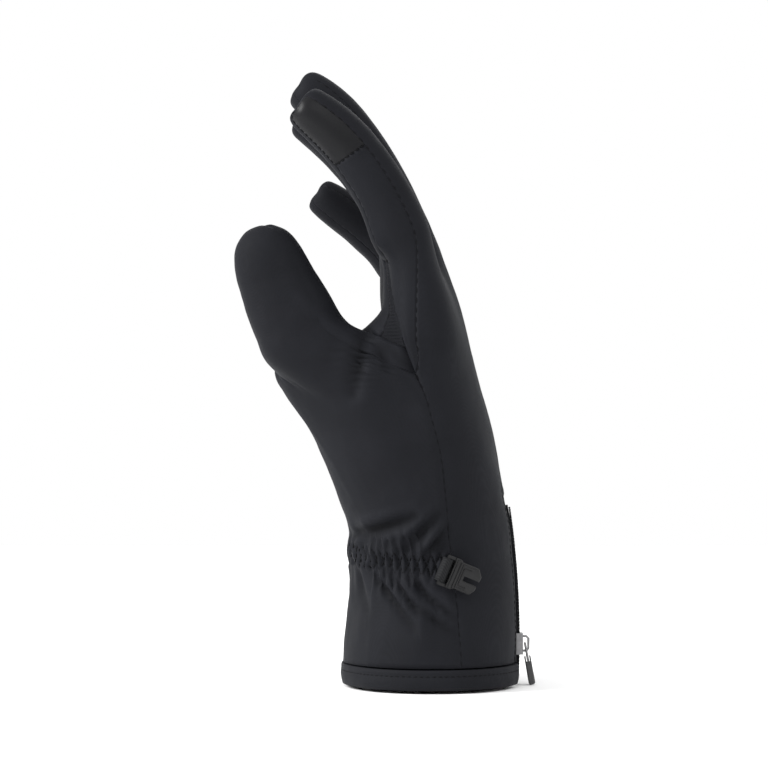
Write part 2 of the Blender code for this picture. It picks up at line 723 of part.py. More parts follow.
def fold_push(point, normal):
    """How far the folds press the cloth in at one point."""
    facing = {"near": -normal[1], "far": normal[1], "palm": -normal[0], "back": normal[0]}
    total = 0.0
    for _, face, a_x, a_height, b_x, b_height, depth, width in FOLDS:
        seen = ease((facing[face] - 0.25) / 0.45)
        if seen == 0.0:
            continue
        side_on = face in ("near", "far")
        across = point[0] / CUFF_DEPTH if side_on else point[1] / CUFF_WIDTH
        along = point[2] / HAND_LENGTH
        stretch = HAND_LENGTH / (CUFF_DEPTH if side_on else CUFF_WIDTH)
        start = np.array([a_x, a_height * stretch])
        end = np.array([b_x, b_height * stretch])
        here = np.array([across, along * stretch])
        line = end - start
        share = np.dot(here - start, line) / np.dot(line, line)
        nearest = start + line * min(max(share, 0.0), 1.0)
        reach = np.linalg.norm(here - nearest) / (width if side_on else width * CUFF_DEPTH / CUFF_WIDTH)
        taper = 0.55 + 0.45 * math.sin(math.pi * min(max(share, 0.0), 1.0))
        valley = math.exp(-reach * reach) - 0.35 * math.exp(-((reach - 1.9) ** 2) * 1.6)
        total += seen * taper * depth * valley
    return total * FOLD_DEPTH


def press_cloth(shell, cage):
    """Gathers along the elastic and folds, as moves along the smooth surface's own normals."""
    low = HAND_RINGS[ELASTIC_RINGS[0]][0] * HAND_LENGTH
    high = HAND_RINGS[ELASTIC_RINGS[1]][0] * HAND_LENGTH
    middle, half = (low + high) / 2.0, (high - low) / 2.0
    crest = set(range(shell.coarse))
    for (a, b), number in shell.edges.items():
        if cage.ring_of.get(a) != cage.ring_of.get(b):
            crest.add(shell.coarse + number)
    pressed = shell.points.copy()
    for index, (point, normal) in enumerate(zip(shell.points, shell.normals)):
        push = -fold_push(point, normal)
        band = math.exp(-((point[2] - middle) / (1.5 * half)) ** 4)
        palm_side = ease((0.12 * CUFF_DEPTH - point[0]) / (0.2 * CUFF_DEPTH))
        push += GATHER_DEPTH * band * palm_side * (1.0 if index in crest else -1.0)
        pressed[index] = point + normal * max(min(push, 0.6 * WALL), -0.6 * WALL)
    return pressed


def seam_moves(shell, panel):
    """Moves that pull a panel's border back from its seams by half the seam gap, and the border itself."""
    directed = {}
    for face, owner in zip(shell.faces, shell.panels):
        if owner == panel:
            for a, b in zip(face, face[1:] + face[:1]):
                directed[(a, b)] = True
    border = [(a, b) for a, b in directed if (b, a) not in directed]
    inward = {}
    for a, b in border:
        for start, end in ((a, shell.middle(a, b)), (shell.middle(a, b), b)):
            along = shell.points[end] - shell.points[start]
            way = np.cross(shell.edge_normals[(min(start, end), max(start, end))], along)
            for index in (start, end):
                inward.setdefault(index, []).append(way / np.linalg.norm(way))
    moves = {}
    for index, ways in inward.items():
        if len(ways) == 1:
            moves[index] = ways[0] * SEAM_GAP / 2.0
            continue
        share = 1.0 + float(np.dot(ways[0], ways[1]))
        moves[index] = (ways[0] + ways[1]) / max(share, 0.5) * SEAM_GAP / 2.0
    return border, moves


def add_panel(shell, pressed, panel, outer=0.0, inner=WALL):
    """One closed wall: fine faces outside, the cage's own larger faces inside where they fit, rims at the seams."""
    border, moves = seam_moves(shell, panel)
    tape = panel in TAPES
    points = []
    outside = {}
    inside = {}

    def outer_point(index):
        if index not in outside:
            base = shell.points[index] if tape else pressed[index]
            dip = SEAM_DIP if index in moves and not tape else 0.0
            outside[index] = len(points)
            points.append(base - shell.normals[index] * (outer + dip) + moves.get(index, 0.0))
        return outside[index]

    def inner_point(index):
        if index not in inside:
            inside[index] = len(points)
            points.append(shell.points[index] - shell.normals[index] * inner + moves.get(index, 0.0))
        return inside[index]

    faces = []
    for number, face in enumerate(shell.faces):
        if shell.panels[number] != panel:
            continue
        quarters = shell.fine[4 * number:4 * number + 4]
        for quarter in quarters:
            faces.append([outer_point(index) for index in quarter])
        if number in shell.fine_lined and not tape:
            for quarter in quarters:
                faces.append([inner_point(index) for index in reversed(quarter)])
            continue
        around = []
        for a, b in zip(face, face[1:] + face[:1]):
            around.append(a)
            if shell.is_split(a, b) and not tape:
                around.append(shell.middle(a, b))
        if len(around) == 4:
            start = 0 if shell.deep_diagonal(face) else 1
            a, b, c, d = [inner_point(index) for index in face[start:] + face[:start]]
            faces += [[c, b, a], [d, c, a]]
            continue
        centre = inner_point(quarters[0][2])
        for a, b in zip(around, around[1:] + around[:1]):
            faces.append([centre, inner_point(b), inner_point(a)])
    for a, b in border:
        middle = shell.middle(a, b)
        edge = [outer_point(a), inner_point(a), inner_point(b), outer_point(b)]
        if shell.is_split(a, b) and not tape:
            edge.insert(2, inner_point(middle))
        for start, end in zip(edge, edge[1:]):
            faces.append([outer_point(middle), start, end])
    return add_object(panel, points, faces, PANEL_FINISH[panel])


def loft(name, rows, finish_name, closed=False, sharp=40.0):
    """A solid through rows of equal point count, with flat ends unless it closes on itself."""
    size = len(rows[0])
    points = [point for row in rows for point in row]
    faces = []
    total = len(rows)
    for row in range(total if closed else total - 1):
        after = (row + 1) % total
        for place in range(size):
            beside = (place + 1) % size
            faces.append([row * size + place, row * size + beside, after * size + beside, after * size + place])
    if not closed:
        faces.append(list(range(size))[::-1])
        faces.append([(total - 1) * size + place for place in range(size)])
    return add_object(name, points, faces, finish_name, sharp)


def make_outward(obj):
    """Turns a solid's faces outwards."""
    work = bmesh.new()
    work.from_mesh(obj.data)
    bmesh.ops.recalc_face_normals(work, faces=work.faces)
    work.to_mesh(obj.data)
    work.free()
    return obj


def add_hem(shell, rings):
    """The folded band round the cuff mouth, from one side of the zip to the other."""
    ring = rings[0]
    order = []
    for column in range(7, HAND_COLUMNS + 5):
        a, b = ring[column % HAND_COLUMNS], ring[(column + 1) % HAND_COLUMNS]
        order += [a, shell.middle(a, b)]
    order.append(ring[5])
    top = HAND_RINGS[0][0] * HAND_LENGTH - SEAM_GAP - SEAM_GAP / 2.0
    low = top - HEM_HEIGHT
    inner = WALL + HEM_INSET
    profile = [
        # out, height
        (-0.8 * inner, low),
        (-0.05 * inner, low),
        (HEM_PROUD, low + 0.28 * HEM_HEIGHT),
        (0.85 * HEM_PROUD, top - 0.12 * HEM_HEIGHT),
        (0.0, top),
        (-inner, top),
    ]
    rows = []
    for place, index in enumerate(order):
        normal = shell.normals[index].copy()
        normal[2] = 0.0
        normal /= np.linalg.norm(normal)
        point = shell.points[index].copy()
        if place in (0, len(order) - 1):
            point[1] += math.copysign(SEAM_GAP, point[1])
        rows.append([np.array([*(point + normal * out)[:2], height]) for out, height in profile])
    return make_outward(loft("hem_binding", rows, "binding"))


def zip_line(shell, rings, start):
    """Surface points and normals up the middle of the zip, from the hem to the top of the slot."""
    middle = [start[1]] + [rings[number][6] for number in range(SLOT_TOP_RING + 1)]
    line = []
    for a, b in zip(middle, middle[1:]):
        line += [a, shell.middle(a, b)]
    return line + [middle[-1]]


def add_chain(shell, rings, start):
    half = CHAIN_WIDTH / 2.0
    low = CLEARANCE - TAPE_RECESS
    shoulder = low + 0.65 * CHAIN_THICKNESS
    profile = [(-half, low), (half, low), (half, shoulder), (0.6 * half, CHAIN_TOP), (-0.6 * half, CHAIN_TOP),
               (-half, shoulder)]
    rows = []
    line = zip_line(shell, rings, start)
    for index in line[:-1]:
        normal = shell.normals[index].copy()
        normal[1] = 0.0
        normal /= np.linalg.norm(normal)
        point = shell.points[index]
        rows.append([point + np.array([0.0, side, 0.0]) + normal * out for side, out in profile])
    return make_outward(loft("zip_chain", rows, "tape"))


class Place:
    """A local frame on the shell: u, v and n run along three directions from a point."""

    def __init__(self, origin, u, n):
        self.origin = np.array(origin, dtype=float)
        self.n = np.array(n, dtype=float) / np.linalg.norm(n)
        u = np.array(u, dtype=float)
        u = u - self.n * np.dot(u, self.n)
        self.u = u / np.linalg.norm(u)
        self.v = np.cross(self.n, self.u)

    def point(self, u, v, n):
        return self.origin + self.u * u + self.v * v + self.n * n


def extrude_profile(name, place, profile, start, end, finish_name, axis="v"):
    """Extrudes an outline in a place's frame: (u, n) along v, or (v, n) along u, or (u, v) along n."""
    def local(first, second, third):
        if axis == "v":
            return place.point(first, third, second)
        if axis == "u":
            return place.point(third, first, second)
        return place.point(first, second, third)

    rows = [[local(a, b, depth) for a, b in profile] for depth in (start, end)]
    return make_outward(loft(name, rows, finish_name, sharp=30.0))


def boolean(obj, cutter, operation):
    """Joins or cuts with another solid, which is then removed."""
    modifier = obj.modifiers.new(operation.lower(), "BOOLEAN")
    modifier.operation = operation
    modifier.solver = "EXACT"
    modifier.object = cutter
    apply_modifiers(obj)
    bpy.data.objects.remove(cutter, do_unlink=True)


def apply_modifiers(obj):
    graph = bpy.context.evaluated_depsgraph_get()
    mesh = bpy.data.meshes.new_from_object(obj.evaluated_get(graph))
    obj.modifiers.clear()
    obj.data = mesh


def bevel_edges(obj, width, segments=1):
    modifier = obj.modifiers.new("bevel", "BEVEL")
    modifier.width = width
    modifier.segments = segments
    modifier.limit_method = "ANGLE"
    modifier.angle_limit = math.radians(40.0)
    apply_modifiers(obj)
    return obj


def strip_outline(path, thickness):
    """The outline of a strip that follows a path of (a, b) points."""
    half = thickness / 2.0
    left = []
    right = []
    path = [np.array(point, dtype=float) for point in path]
    for number, point in enumerate(path):
        before = path[max(number - 1, 0)]
        after = path[min(number + 1, len(path) - 1)]
        along = (after - before) / np.linalg.norm(after - before)
        side = np.array([-along[1], along[0]])
        first = (point - before) if number else (after - point)
        first = first / np.linalg.norm(first)
        stretch = 1.0 / max(abs(np.dot(first, along)), 0.7)
        left.append(tuple(point + side * half * stretch))
        right.append(tuple(point - side * half * stretch))
    return left + right[::-1]


def add_zip_pull(shell, rings, start):
    """Slider on the chain, a link through its bridge and the moulded grip on the link."""
    line = zip_line(shell, rings, start)
    index = min(line, key=lambda item: abs(shell.points[item][2] - SLIDER_HEIGHT_ON_CHAIN))
    spine = Place(shell.points[index], (0.0, 0.0, -1.0), (1.0, 0.0, 0.0))
    spine.origin[2] = SLIDER_HEIGHT_ON_CHAIN

    floor = CHAIN_TOP + CLEARANCE
    roof = floor + SLIDER_SHELL
    inside = CHAIN_WIDTH / 2.0 + CLEARANCE
    outside = inside + 0.7 * SLIDER_SHELL
    skirt = CLEARANCE - TAPE_RECESS + 0.25 * CHAIN_THICKNESS
    profile = [(-outside, skirt), (-inside, skirt), (-inside, floor), (inside, floor), (inside, skirt),
               (outside, skirt), (outside, roof - 0.3 * SLIDER_SHELL), (0.85 * outside, roof),
               (-0.85 * outside, roof), (-outside, roof - 0.3 * SLIDER_SHELL)]
    slider = extrude_profile("zip_slider", spine, profile, -SLIDER_LENGTH / 2.0, SLIDER_LENGTH / 2.0, "metal", "u")
    top = roof + BRIDGE_GAP + BRIDGE_WALL / 2.0
    foot = roof - 0.4 * SLIDER_SHELL
    reach = 0.34 * SLIDER_LENGTH
    bridge_path = [(-reach, foot), (-reach, top - BRIDGE_WALL), (-0.7 * reach, top), (0.7 * reach, top),
                   (reach, top - BRIDGE_WALL), (reach, foot)]
    bridge = extrude_profile("bridge", spine, strip_outline(bridge_path, BRIDGE_WALL),
                             -BRIDGE_WIDTH / 2.0, BRIDGE_WIDTH / 2.0, "metal")
    boolean(slider, bridge, "UNION")

    axis = spine.point(0.0, 0.0, roof + BRIDGE_GAP / 2.0)
    down = (math.sin(PULL_TILT), 0.0, -math.cos(PULL_TILT))
    hang = Place(axis, down, (math.cos(PULL_TILT), 0.0, math.sin(PULL_TILT)))
    wire = LINK_WIRE / 2.0
    half = LINK_WIDTH / 2.0
    frame = [(-wire, -half), (LINK_LENGTH, -half), (LINK_LENGTH, half), (-wire, half)]
    window = [(wire, -half + LINK_WIRE), (LINK_LENGTH - LINK_WIRE, -half + LINK_WIRE),
              (LINK_LENGTH - LINK_WIRE, half - LINK_WIRE), (wire, half - LINK_WIRE)]
    link = extrude_profile("zip_link", hang, frame, -wire, wire, "metal", "n")
    hole = extrude_profile("hole", hang, window, -2.0 * wire, 2.0 * wire, "metal", "n")
    boolean(link, hole, "DIFFERENCE")
    bevel_edges(link, 0.28 * LINK_WIRE)

    grip_start = LINK_LENGTH - GRIP_OVERLAP
    grip_end = grip_start + GRIP_LENGTH
    wide = GRIP_WIDTH / 2.0
    neck = 0.82 * wide
    outline = [(grip_start, -neck), (grip_start + 0.3 * GRIP_LENGTH, -neck), (grip_start + 0.5 * GRIP_LENGTH, -wide),
               (grip_end - 0.12 * GRIP_LENGTH, -wide), (grip_end, -0.65 * wide), (grip_end, 0.65 * wide),
               (grip_end - 0.12 * GRIP_LENGTH, wide), (grip_start + 0.5 * GRIP_LENGTH, wide),
               (grip_start + 0.3 * GRIP_LENGTH, neck), (grip_start, neck)]
    thick = GRIP_THICKNESS / 2.0
    grip = extrude_profile("zip_grip", hang, outline, -thick, thick, "rubber", "n")
    bevel_edges(grip, 0.18 * GRIP_THICKNESS)
    pocket_end = LINK_LENGTH + CLEARANCE
    pocket_wide = half + CLEARANCE
    pocket_outline = [(grip_start - wire, -pocket_wide), (pocket_end, -pocket_wide), (pocket_end, pocket_wide),
                      (grip_start - wire, pocket_wide)]
    pocket = extrude_profile("pocket", hang, pocket_outline, -wire - CLEARANCE, wire + CLEARANCE, "rubber", "n")
    boolean(grip, pocket, "DIFFERENCE")


def cloth_tree(panels):
    """A search tree over the outer cloth, to seat the clip on it."""
    points = []
    faces = []
    for obj in panels:
        start = len(points)
        points += [vertex.co.copy() for vertex in obj.data.vertices]
        faces += [[start + index for index in polygon.vertices] for polygon in obj.data.polygons]
    return BVHTree.FromPolygons(points, faces)


def add_clip(tree):
    """The hook that joins the pair, and the webbing loop that holds its end bar to the side seam."""
    origin = Vector((CLIP_X, -CUFF_WIDTH, CLIP_HEIGHT))
    toward = Vector((0.0, 1.0, 0.0))
    hit, normal, _, _ = tree.ray_cast(origin, toward)
    turn = (math.cos(CLIP_TURN), 0.0, -math.sin(CLIP_TURN))
    end = origin + Vector(turn) * CLIP_LENGTH
    far_hit = tree.ray_cast(end, toward)[0]
    along = far_hit - hit
    place = Place(hit, along, Vector((0.0, -1.0, 0.0)) - along * (-along.y / along.length_squared))
    lift = 0.0
    for step_u in range(9):
        for step_v in range(-3, 4):
            spot = Vector(place.point(CLIP_LENGTH * step_u / 8.0, CLIP_WIDTH * step_v / 6.0, 0.0))
            start = spot + Vector(place.n) * CLIP_LENGTH
            found = tree.ray_cast(start, -Vector(place.n))
            if found[0] is not None:
                lift = max(lift, CLIP_LENGTH - found[3])
    place.origin = place.point(0.0, 0.0, lift + CLEARANCE)

    back = STRAP_THICKNESS + CLEARANCE
    front = back + CLIP_THICKNESS
    half = CLIP_WIDTH / 2.0
    chamfer = 0.14 * CLIP_LENGTH
    jaw = 0.44 * CLIP_WIDTH
    outline = [(0.0, -half), (5.0 * CLIP_BAR, -half), (5.6 * CLIP_BAR, -jaw), (CLIP_LENGTH - chamfer, -jaw),
               (CLIP_LENGTH - 0.3 * chamfer, -0.6 * jaw), (CLIP_LENGTH, 0.5 * jaw), (CLIP_LENGTH - chamfer, jaw),
               (5.6 * CLIP_BAR, jaw), (5.0 * CLIP_BAR, half), (0.0, half)]
    clip = bevel_edges(extrude_profile("clip", place, outline, back, front, "plastic", "n"), CLIP_BEVEL)
    slot_end = 2.0 * CLIP_BAR + STRAP_THICKNESS + CLEARANCE
    slot_half = half - CLIP_BAR
    cuts = [
        [(CLIP_BAR, -slot_half), (slot_end, -slot_half), (slot_end, slot_half), (CLIP_BAR, slot_half)],
        [(0.56 * CLIP_LENGTH, -0.20 * jaw), (1.1 * CLIP_LENGTH, -0.34 * jaw), (1.1 * CLIP_LENGTH, 0.10 * jaw),
         (0.56 * CLIP_LENGTH, 0.16 * jaw)],
    ]
    for cut in cuts:
        cutter = extrude_profile("cutter", place, cut, back - CLIP_BAR, front + CLIP_BAR, "plastic", "n")
        boolean(clip, cutter, "DIFFERENCE")
    step_height = 0.35 * CLIP_THICKNESS
    rebate = [(-CLIP_BAR, -CLIP_WIDTH), (slot_end, -CLIP_WIDTH), (slot_end, CLIP_WIDTH), (-CLIP_BAR, CLIP_WIDTH)]
    cutter = extrude_profile("cutter", place, rebate, front - step_height, front + CLIP_BAR, "plastic", "n")
    boolean(clip, cutter, "DIFFERENCE")

    middle = STRAP_THICKNESS / 2.0
    left = -CLEARANCE - middle
    right = CLIP_BAR + CLEARANCE + middle
    top = front - step_height + CLEARANCE + middle
    corner = 0.6 * STRAP_THICKNESS
    path = [(6.0 * CLIP_BAR, middle), (left + corner, middle), (left, middle + corner), (left, top - corner),
            (left + corner, top), (right - corner, top), (right, top - corner),
            (right, STRAP_THICKNESS + CLEARANCE)]
    strap_half = slot_half - CLEARANCE
    extrude_profile("clip_strap", place, strip_outline(path, STRAP_THICKNESS), -strap_half, strap_half, "tape")


def main():
    clear_scene()
    cage = Cage()
    rings, start = build_hand(cage)
    last, web = build_palm(cage, rings[-1])
    build_fingers(cage, last)
    build_thumb(cage, rings[-1], web[:])
    shell = Shell(cage)
    pressed = press_cloth(shell, cage)
    line_shell(shell, pressed)
    panels = []
    for panel in PANEL_FINISH:
        if panel in TAPES:
            add_panel(shell, pressed, panel, TAPE_RECESS, TAPE_RECESS + TAPE_THICKNESS)
        else:
            panels.append(add_panel(shell, pressed, panel))
    add_hem(shell, rings)
    add_chain(shell, rings, start)
    add_zip_pull(shell, rings, start)
    add_clip(cloth_tree(panels))


main()
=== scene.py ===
import json
import math

import bmesh
import bpy
import numpy as np
from mathutils import Matrix, Vector, noise
from mathutils.bvhtree import BVHTree
from mathutils.kdtree import KDTree


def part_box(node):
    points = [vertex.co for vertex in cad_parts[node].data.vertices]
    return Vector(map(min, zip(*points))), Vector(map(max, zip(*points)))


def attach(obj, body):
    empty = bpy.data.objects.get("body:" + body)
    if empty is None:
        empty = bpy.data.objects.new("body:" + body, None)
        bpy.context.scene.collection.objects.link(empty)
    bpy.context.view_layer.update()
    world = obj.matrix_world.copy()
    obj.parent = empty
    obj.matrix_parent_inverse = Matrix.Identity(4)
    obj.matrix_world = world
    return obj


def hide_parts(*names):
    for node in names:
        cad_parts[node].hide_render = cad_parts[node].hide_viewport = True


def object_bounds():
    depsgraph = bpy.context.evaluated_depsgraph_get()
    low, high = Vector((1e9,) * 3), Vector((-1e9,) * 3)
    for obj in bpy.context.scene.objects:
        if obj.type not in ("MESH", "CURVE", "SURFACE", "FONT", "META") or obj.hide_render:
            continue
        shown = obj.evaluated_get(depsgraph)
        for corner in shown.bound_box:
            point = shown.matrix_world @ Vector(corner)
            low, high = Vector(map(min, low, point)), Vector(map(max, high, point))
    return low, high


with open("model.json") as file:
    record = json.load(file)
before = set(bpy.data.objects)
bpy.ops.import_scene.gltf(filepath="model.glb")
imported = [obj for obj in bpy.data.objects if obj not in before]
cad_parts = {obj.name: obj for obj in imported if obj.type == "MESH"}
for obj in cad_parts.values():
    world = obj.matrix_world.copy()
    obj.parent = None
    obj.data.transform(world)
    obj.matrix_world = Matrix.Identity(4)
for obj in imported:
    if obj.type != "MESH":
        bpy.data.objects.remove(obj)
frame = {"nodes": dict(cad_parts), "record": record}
cad_box = [list(corner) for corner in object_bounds()]
MM = 0.001

# The view.
# The glove stands on its hem on a pale floor, seen from the thumb side at the height of its middle, from a
# metre and a half. Four soft lights stand round it, the strongest on the palm's side.
FLOOR_GAP = 0.2 * MM
LIGHT_AIM = Vector((0.0, 0.0, 0.12))
camera_data = bpy.data.cameras.new("camera")
camera_data.lens = 170.0
camera_data.sensor_width = 36.0
camera = bpy.data.objects.new("camera", camera_data)
camera.location = (-0.0194, -1.53, 0.1256)
camera.rotation_euler = (math.radians(90.0), 0.0, 0.0)
bpy.context.scene.collection.objects.link(camera)
bpy.context.scene.camera = camera

bpy.ops.object.select_all(action="DESELECT")
bpy.ops.mesh.primitive_plane_add(size=2.6, location=(0.0, 0.0, cad_box[0][2] - FLOOR_GAP))
floor = bpy.context.object
floor.name = "floor"
floor_material = bpy.data.materials.new("floor_white")
floor_material.use_nodes = True
floor_shader = floor_material.node_tree.nodes["Principled BSDF"]
floor_shader.inputs["Base Color"].default_value = (0.95, 0.95, 0.95, 1.0)
floor_shader.inputs["Roughness"].default_value = 0.9
floor.data.materials.append(floor_material)

world = bpy.data.worlds.new("studio")
world.use_nodes = True
world.node_tree.nodes["Background"].inputs["Color"].default_value = (1.0, 1.0, 1.0, 1.0)
world.node_tree.nodes["Background"].inputs["Strength"].default_value = 1.0
bpy.context.scene.world = world
bpy.context.scene.view_settings.view_transform = "Standard"

# name, place, size in metres, watts
SOFTBOXES = [
    ("left_light", (-1.3, -0.45, 0.85), 0.6, 34.0),
    ("right_light", (1.2, -0.25, 0.9), 0.6, 5.0),
    ("front_light", (0.15, -1.5, 1.3), 0.8, 6.0),
    ("back_light", (0.3, 1.4, 0.9), 0.8, 2.5),
]
for light_name, place, size, power in SOFTBOXES:
    light_data = bpy.data.lights.new(light_name, "AREA")
    light_data.size = size
    light_data.energy = power
    light = bpy.data.objects.new(light_name, light_data)
    light.location = place
    light.rotation_euler = (LIGHT_AIM - Vector(place)).to_track_quat("-Z", "Y").to_euler()
    bpy.context.scene.collection.objects.link(light)


# The back of the hand and the cuff.
# One panel of softshell, a fine matt woven face bonded to fleece, runs from the hem over the fingertips.
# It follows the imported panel, with its edges brought together at the seams, and is then wrinkled by use.
CLOTH_NODES = (
    "back_panel", "palm_panel", "thumb_panel", "thumb_inner", "index_side", "touch_patch", "rib_patch",
    "fourchette_1", "fourchette_2", "fourchette_3",
)
SEAM_REACH = 0.62 * MM
CLOTH_LEVELS = 2
SHARP_EDGE = math.radians(52.0)
SMOOTH_EDGE = math.radians(50.0)
QUAD_BEND = math.radians(35.0)
QUAD_SKEW = math.radians(60.0)


def select_only(piece):
    bpy.ops.object.select_all(action="DESELECT")
    piece.select_set(True)
    bpy.context.view_layer.objects.active = piece


def merged_copy(node, name):
    """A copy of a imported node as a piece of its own, its loose triangles merged and paired to quads."""
    piece = bpy.data.objects.new(name, frame["nodes"][node].data.copy())
    bpy.context.scene.collection.objects.link(piece)
    piece.data.materials.clear()
    select_only(piece)
    bpy.ops.object.mode_set(mode="EDIT")
    bpy.ops.mesh.select_all(action="SELECT")
    bpy.ops.mesh.remove_doubles(threshold=0.005 * MM)
    bpy.ops.mesh.tris_convert_to_quads(face_threshold=QUAD_BEND, shape_threshold=QUAD_SKEW)
    bpy.ops.mesh.select_all(action="DESELECT")
    bpy.ops.mesh.edges_select_sharp(sharpness=SHARP_EDGE)
    bpy.ops.transform.edge_crease(value=1.0)
    bpy.ops.object.mode_set(mode="OBJECT")
    return piece


def surface_of(pieces):
    """The surface of some pieces, for finding what lies near a place or ahead of it."""
    points, faces = [], []
    for piece in pieces:
        start = len(points)
        points += [vertex.co.copy() for vertex in piece.data.vertices]
        faces += [[start + index for index in polygon.vertices] for polygon in piece.data.polygons]
    return BVHTree.FromPolygons(points, faces)


def tree_of(nodes):
    return surface_of([frame["nodes"][node] for node in nodes])


def close_seams(piece, node):
    """Brings the panel's edges half way to the panels it is sewn to."""
    tree = tree_of([other for other in CLOTH_NODES if other != node])
    for vertex in piece.data.vertices:
        place = tree.find_nearest(vertex.co, SEAM_REACH)[0]
        if place is not None:
            vertex.co += (place - vertex.co) * 0.5


ALL_CLOTH = tree_of(CLOTH_NODES)
MOST_HITS = 40
FAR_ENOUGH = 0.4
SLANTS = (-0.6, 0.0, 0.6)
SMALL_RUN = 0.12


def walls_ahead(place, way):
    """How many cloth walls a straight line from a place crosses: even outside the glove, odd inside it."""
    hits = 0
    start = place + way * 0.05 * MM
    while hits < MOST_HITS:
        found = ALL_CLOTH.ray_cast(start, way, FAR_ENOUGH)[0]
        if found is None:
            break
        hits += 1
        start = found + way * 0.02 * MM
    return hits // 2


def inner_share(faces):
    """The share of straight lines from some faces that start inside the glove."""
    inner = 0
    for face in faces:
        for slant in SLANTS:
            way = (face.normal + Vector((slant, 0.0, 0.0))).normalized()
            inner += walls_ahead(face.calc_center_median(), way) % 2
    return inner / (len(SLANTS) * len(faces))


def mark_outside(piece):
    """Puts the points of the panel's face side in the group "outside", and its lining in material slot 1.
    Runs of faces end at sharp edges, and small runs are the cut edges of the cloth."""
    mesh = bmesh.new()
    mesh.from_mesh(piece.data)
    mesh.faces.ensure_lookup_table()
    part_of = [-1] * len(mesh.faces)
    areas = []
    for start in mesh.faces:
        if part_of[start.index] >= 0:
            continue
        number = len(areas)
        areas.append(0.0)
        part_of[start.index] = number
        waiting = [start]
        while waiting:
            face = waiting.pop()
            areas[number] += face.calc_area()
            for edge in face.edges:
                if edge.calc_face_angle(0.0) > SHARP_EDGE:
                    continue
                for other in edge.link_faces:
                    if part_of[other.index] < 0:
                        part_of[other.index] = number
                        waiting.append(other)
    points = set()
    lining = []
    for number in range(len(areas)):
        if areas[number] < max(areas) * SMALL_RUN:
            continue
        run = [face for face in mesh.faces if part_of[face.index] == number]
        if inner_share(run[::4]) > 0.5:
            lining += [face.index for face in run]
        else:
            points.update(vertex.index for face in run for vertex in face.verts)
    mesh.free()
    group = piece.vertex_groups.new(name="outside")
    group.add(sorted(points), 1.0, "REPLACE")
    for index in lining:
        piece.data.polygons[index].material_index = 1


# Panels that meet in one run of cloth are welded, and the grooves between them filled. The groove from palm to
# thumb stays above a height, the one from palm to inner thumb stays all along, and no other stays.
WELD_REACH = 0.16 * MM
GROOVE_ABOVE = {(0, 1): 118.0 * MM, (0, 2): 0.0}
GROOVE_RUN = 12.0 * MM
GROOVE_FILL = 0.85
FLAT_ENOUGH = math.radians(60.0)
NO_GROOVE = 1.0


def weld_panels(nodes, name):
    """Copies of some nodes as one piece, with their shared edges welded and the grooves filled."""
    parts = [merged_copy(node, name) for node in nodes]
    owner = []
    for part, node in zip(parts, nodes):
        close_seams(part, node)
        owner += [nodes.index(node)] * len(part.data.vertices)
    select_only(parts[0])
    for part in parts[1:]:
        part.select_set(True)
    bpy.ops.object.join()
    piece = parts[0]
    mesh = bmesh.new()
    mesh.from_mesh(piece.data)
    mesh.verts.ensure_lookup_table()
    limits = {}
    for number in range(1, len(nodes)):
        earlier = [vertex for vertex in mesh.verts if owner[vertex.index] < number]
        tree = KDTree(len(earlier))
        for index, vertex in enumerate(earlier):
            tree.insert(vertex.co, index)
        tree.balance()
        for vertex in mesh.verts:
            if owner[vertex.index] != number:
                continue
            _, index, distance = tree.find(vertex.co)
            if distance < WELD_REACH:
                keep = earlier[index]
                limit = GROOVE_ABOVE.get((owner[keep.index], number), NO_GROOVE)
                limits[vertex] = (keep, min(limit, limits.get(keep, (None, NO_GROOVE))[1]))
    targets = {}
    shared = {}
    for vertex, (keep, limit) in limits.items():
        while keep in limits:
            keep = limits[keep][0]
        targets[vertex] = keep
        shared[keep] = min(limit, shared.get(keep, NO_GROOVE))
    bmesh.ops.weld_verts(mesh, targetmap=targets)
    inner_walls = [face for face in mesh.faces if all(vertex in shared for vertex in face.verts)]
    bmesh.ops.delete(mesh, geom=inner_walls, context="FACES_ONLY")
    mesh.normal_update()
    crease = mesh.edges.layers.float.get("crease_edge")
    for edge in mesh.edges:
        if edge.verts[0] in shared and edge.verts[1] in shared:
            edge[crease] = 0.0
    for vertex, limit in shared.items():
        spread = max((edge.calc_face_angle(0.0) for edge in vertex.link_edges), default=0.0)
        fill = min(max((limit - vertex.co.z) / GROOVE_RUN, 0.0), 1.0)
        others = [edge.other_vert(vertex) for edge in vertex.link_edges]
        others = [other.co for other in others if other not in shared]
        if fill > 0.0 and others and spread < FLAT_ENOUGH:
            middle = sum(others, Vector()) / len(others)
            vertex.co += vertex.normal * (middle - vertex.co).dot(vertex.normal) * fill * GROOVE_FILL
    mesh.to_mesh(piece.data)
    mesh.free()
    return piece


def subdivide(piece, levels):
    select_only(piece)
    smooth = piece.modifiers.new("smooth", "SUBSURF")
    smooth.levels = levels
    smooth.render_levels = levels
    bpy.ops.object.modifier_apply(modifier=smooth.name)


def sew_panel(node, name, levels, finishes, welded=()):
    """A packed cloth panel, or some welded to it, as a sewn and smoothed piece with its finishes."""
    if welded:
        piece = weld_panels((node, *welded), name)
    else:
        piece = merged_copy(node, name)
        close_seams(piece, node)
    mark_outside(piece)
    for finish in finishes:
        piece.data.materials.append(finish)
    subdivide(piece, levels)
    select_only(piece)
    bpy.ops.object.shade_smooth_by_angle(angle=SMOOTH_EDGE)
    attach(piece, "glove")
    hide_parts(node, *welded)
    return piece


def node_of(material, kind, **settings):
    node = material.node_tree.nodes.new(kind)
    for key, value in settings.items():
        setattr(node, key, value)
    return node


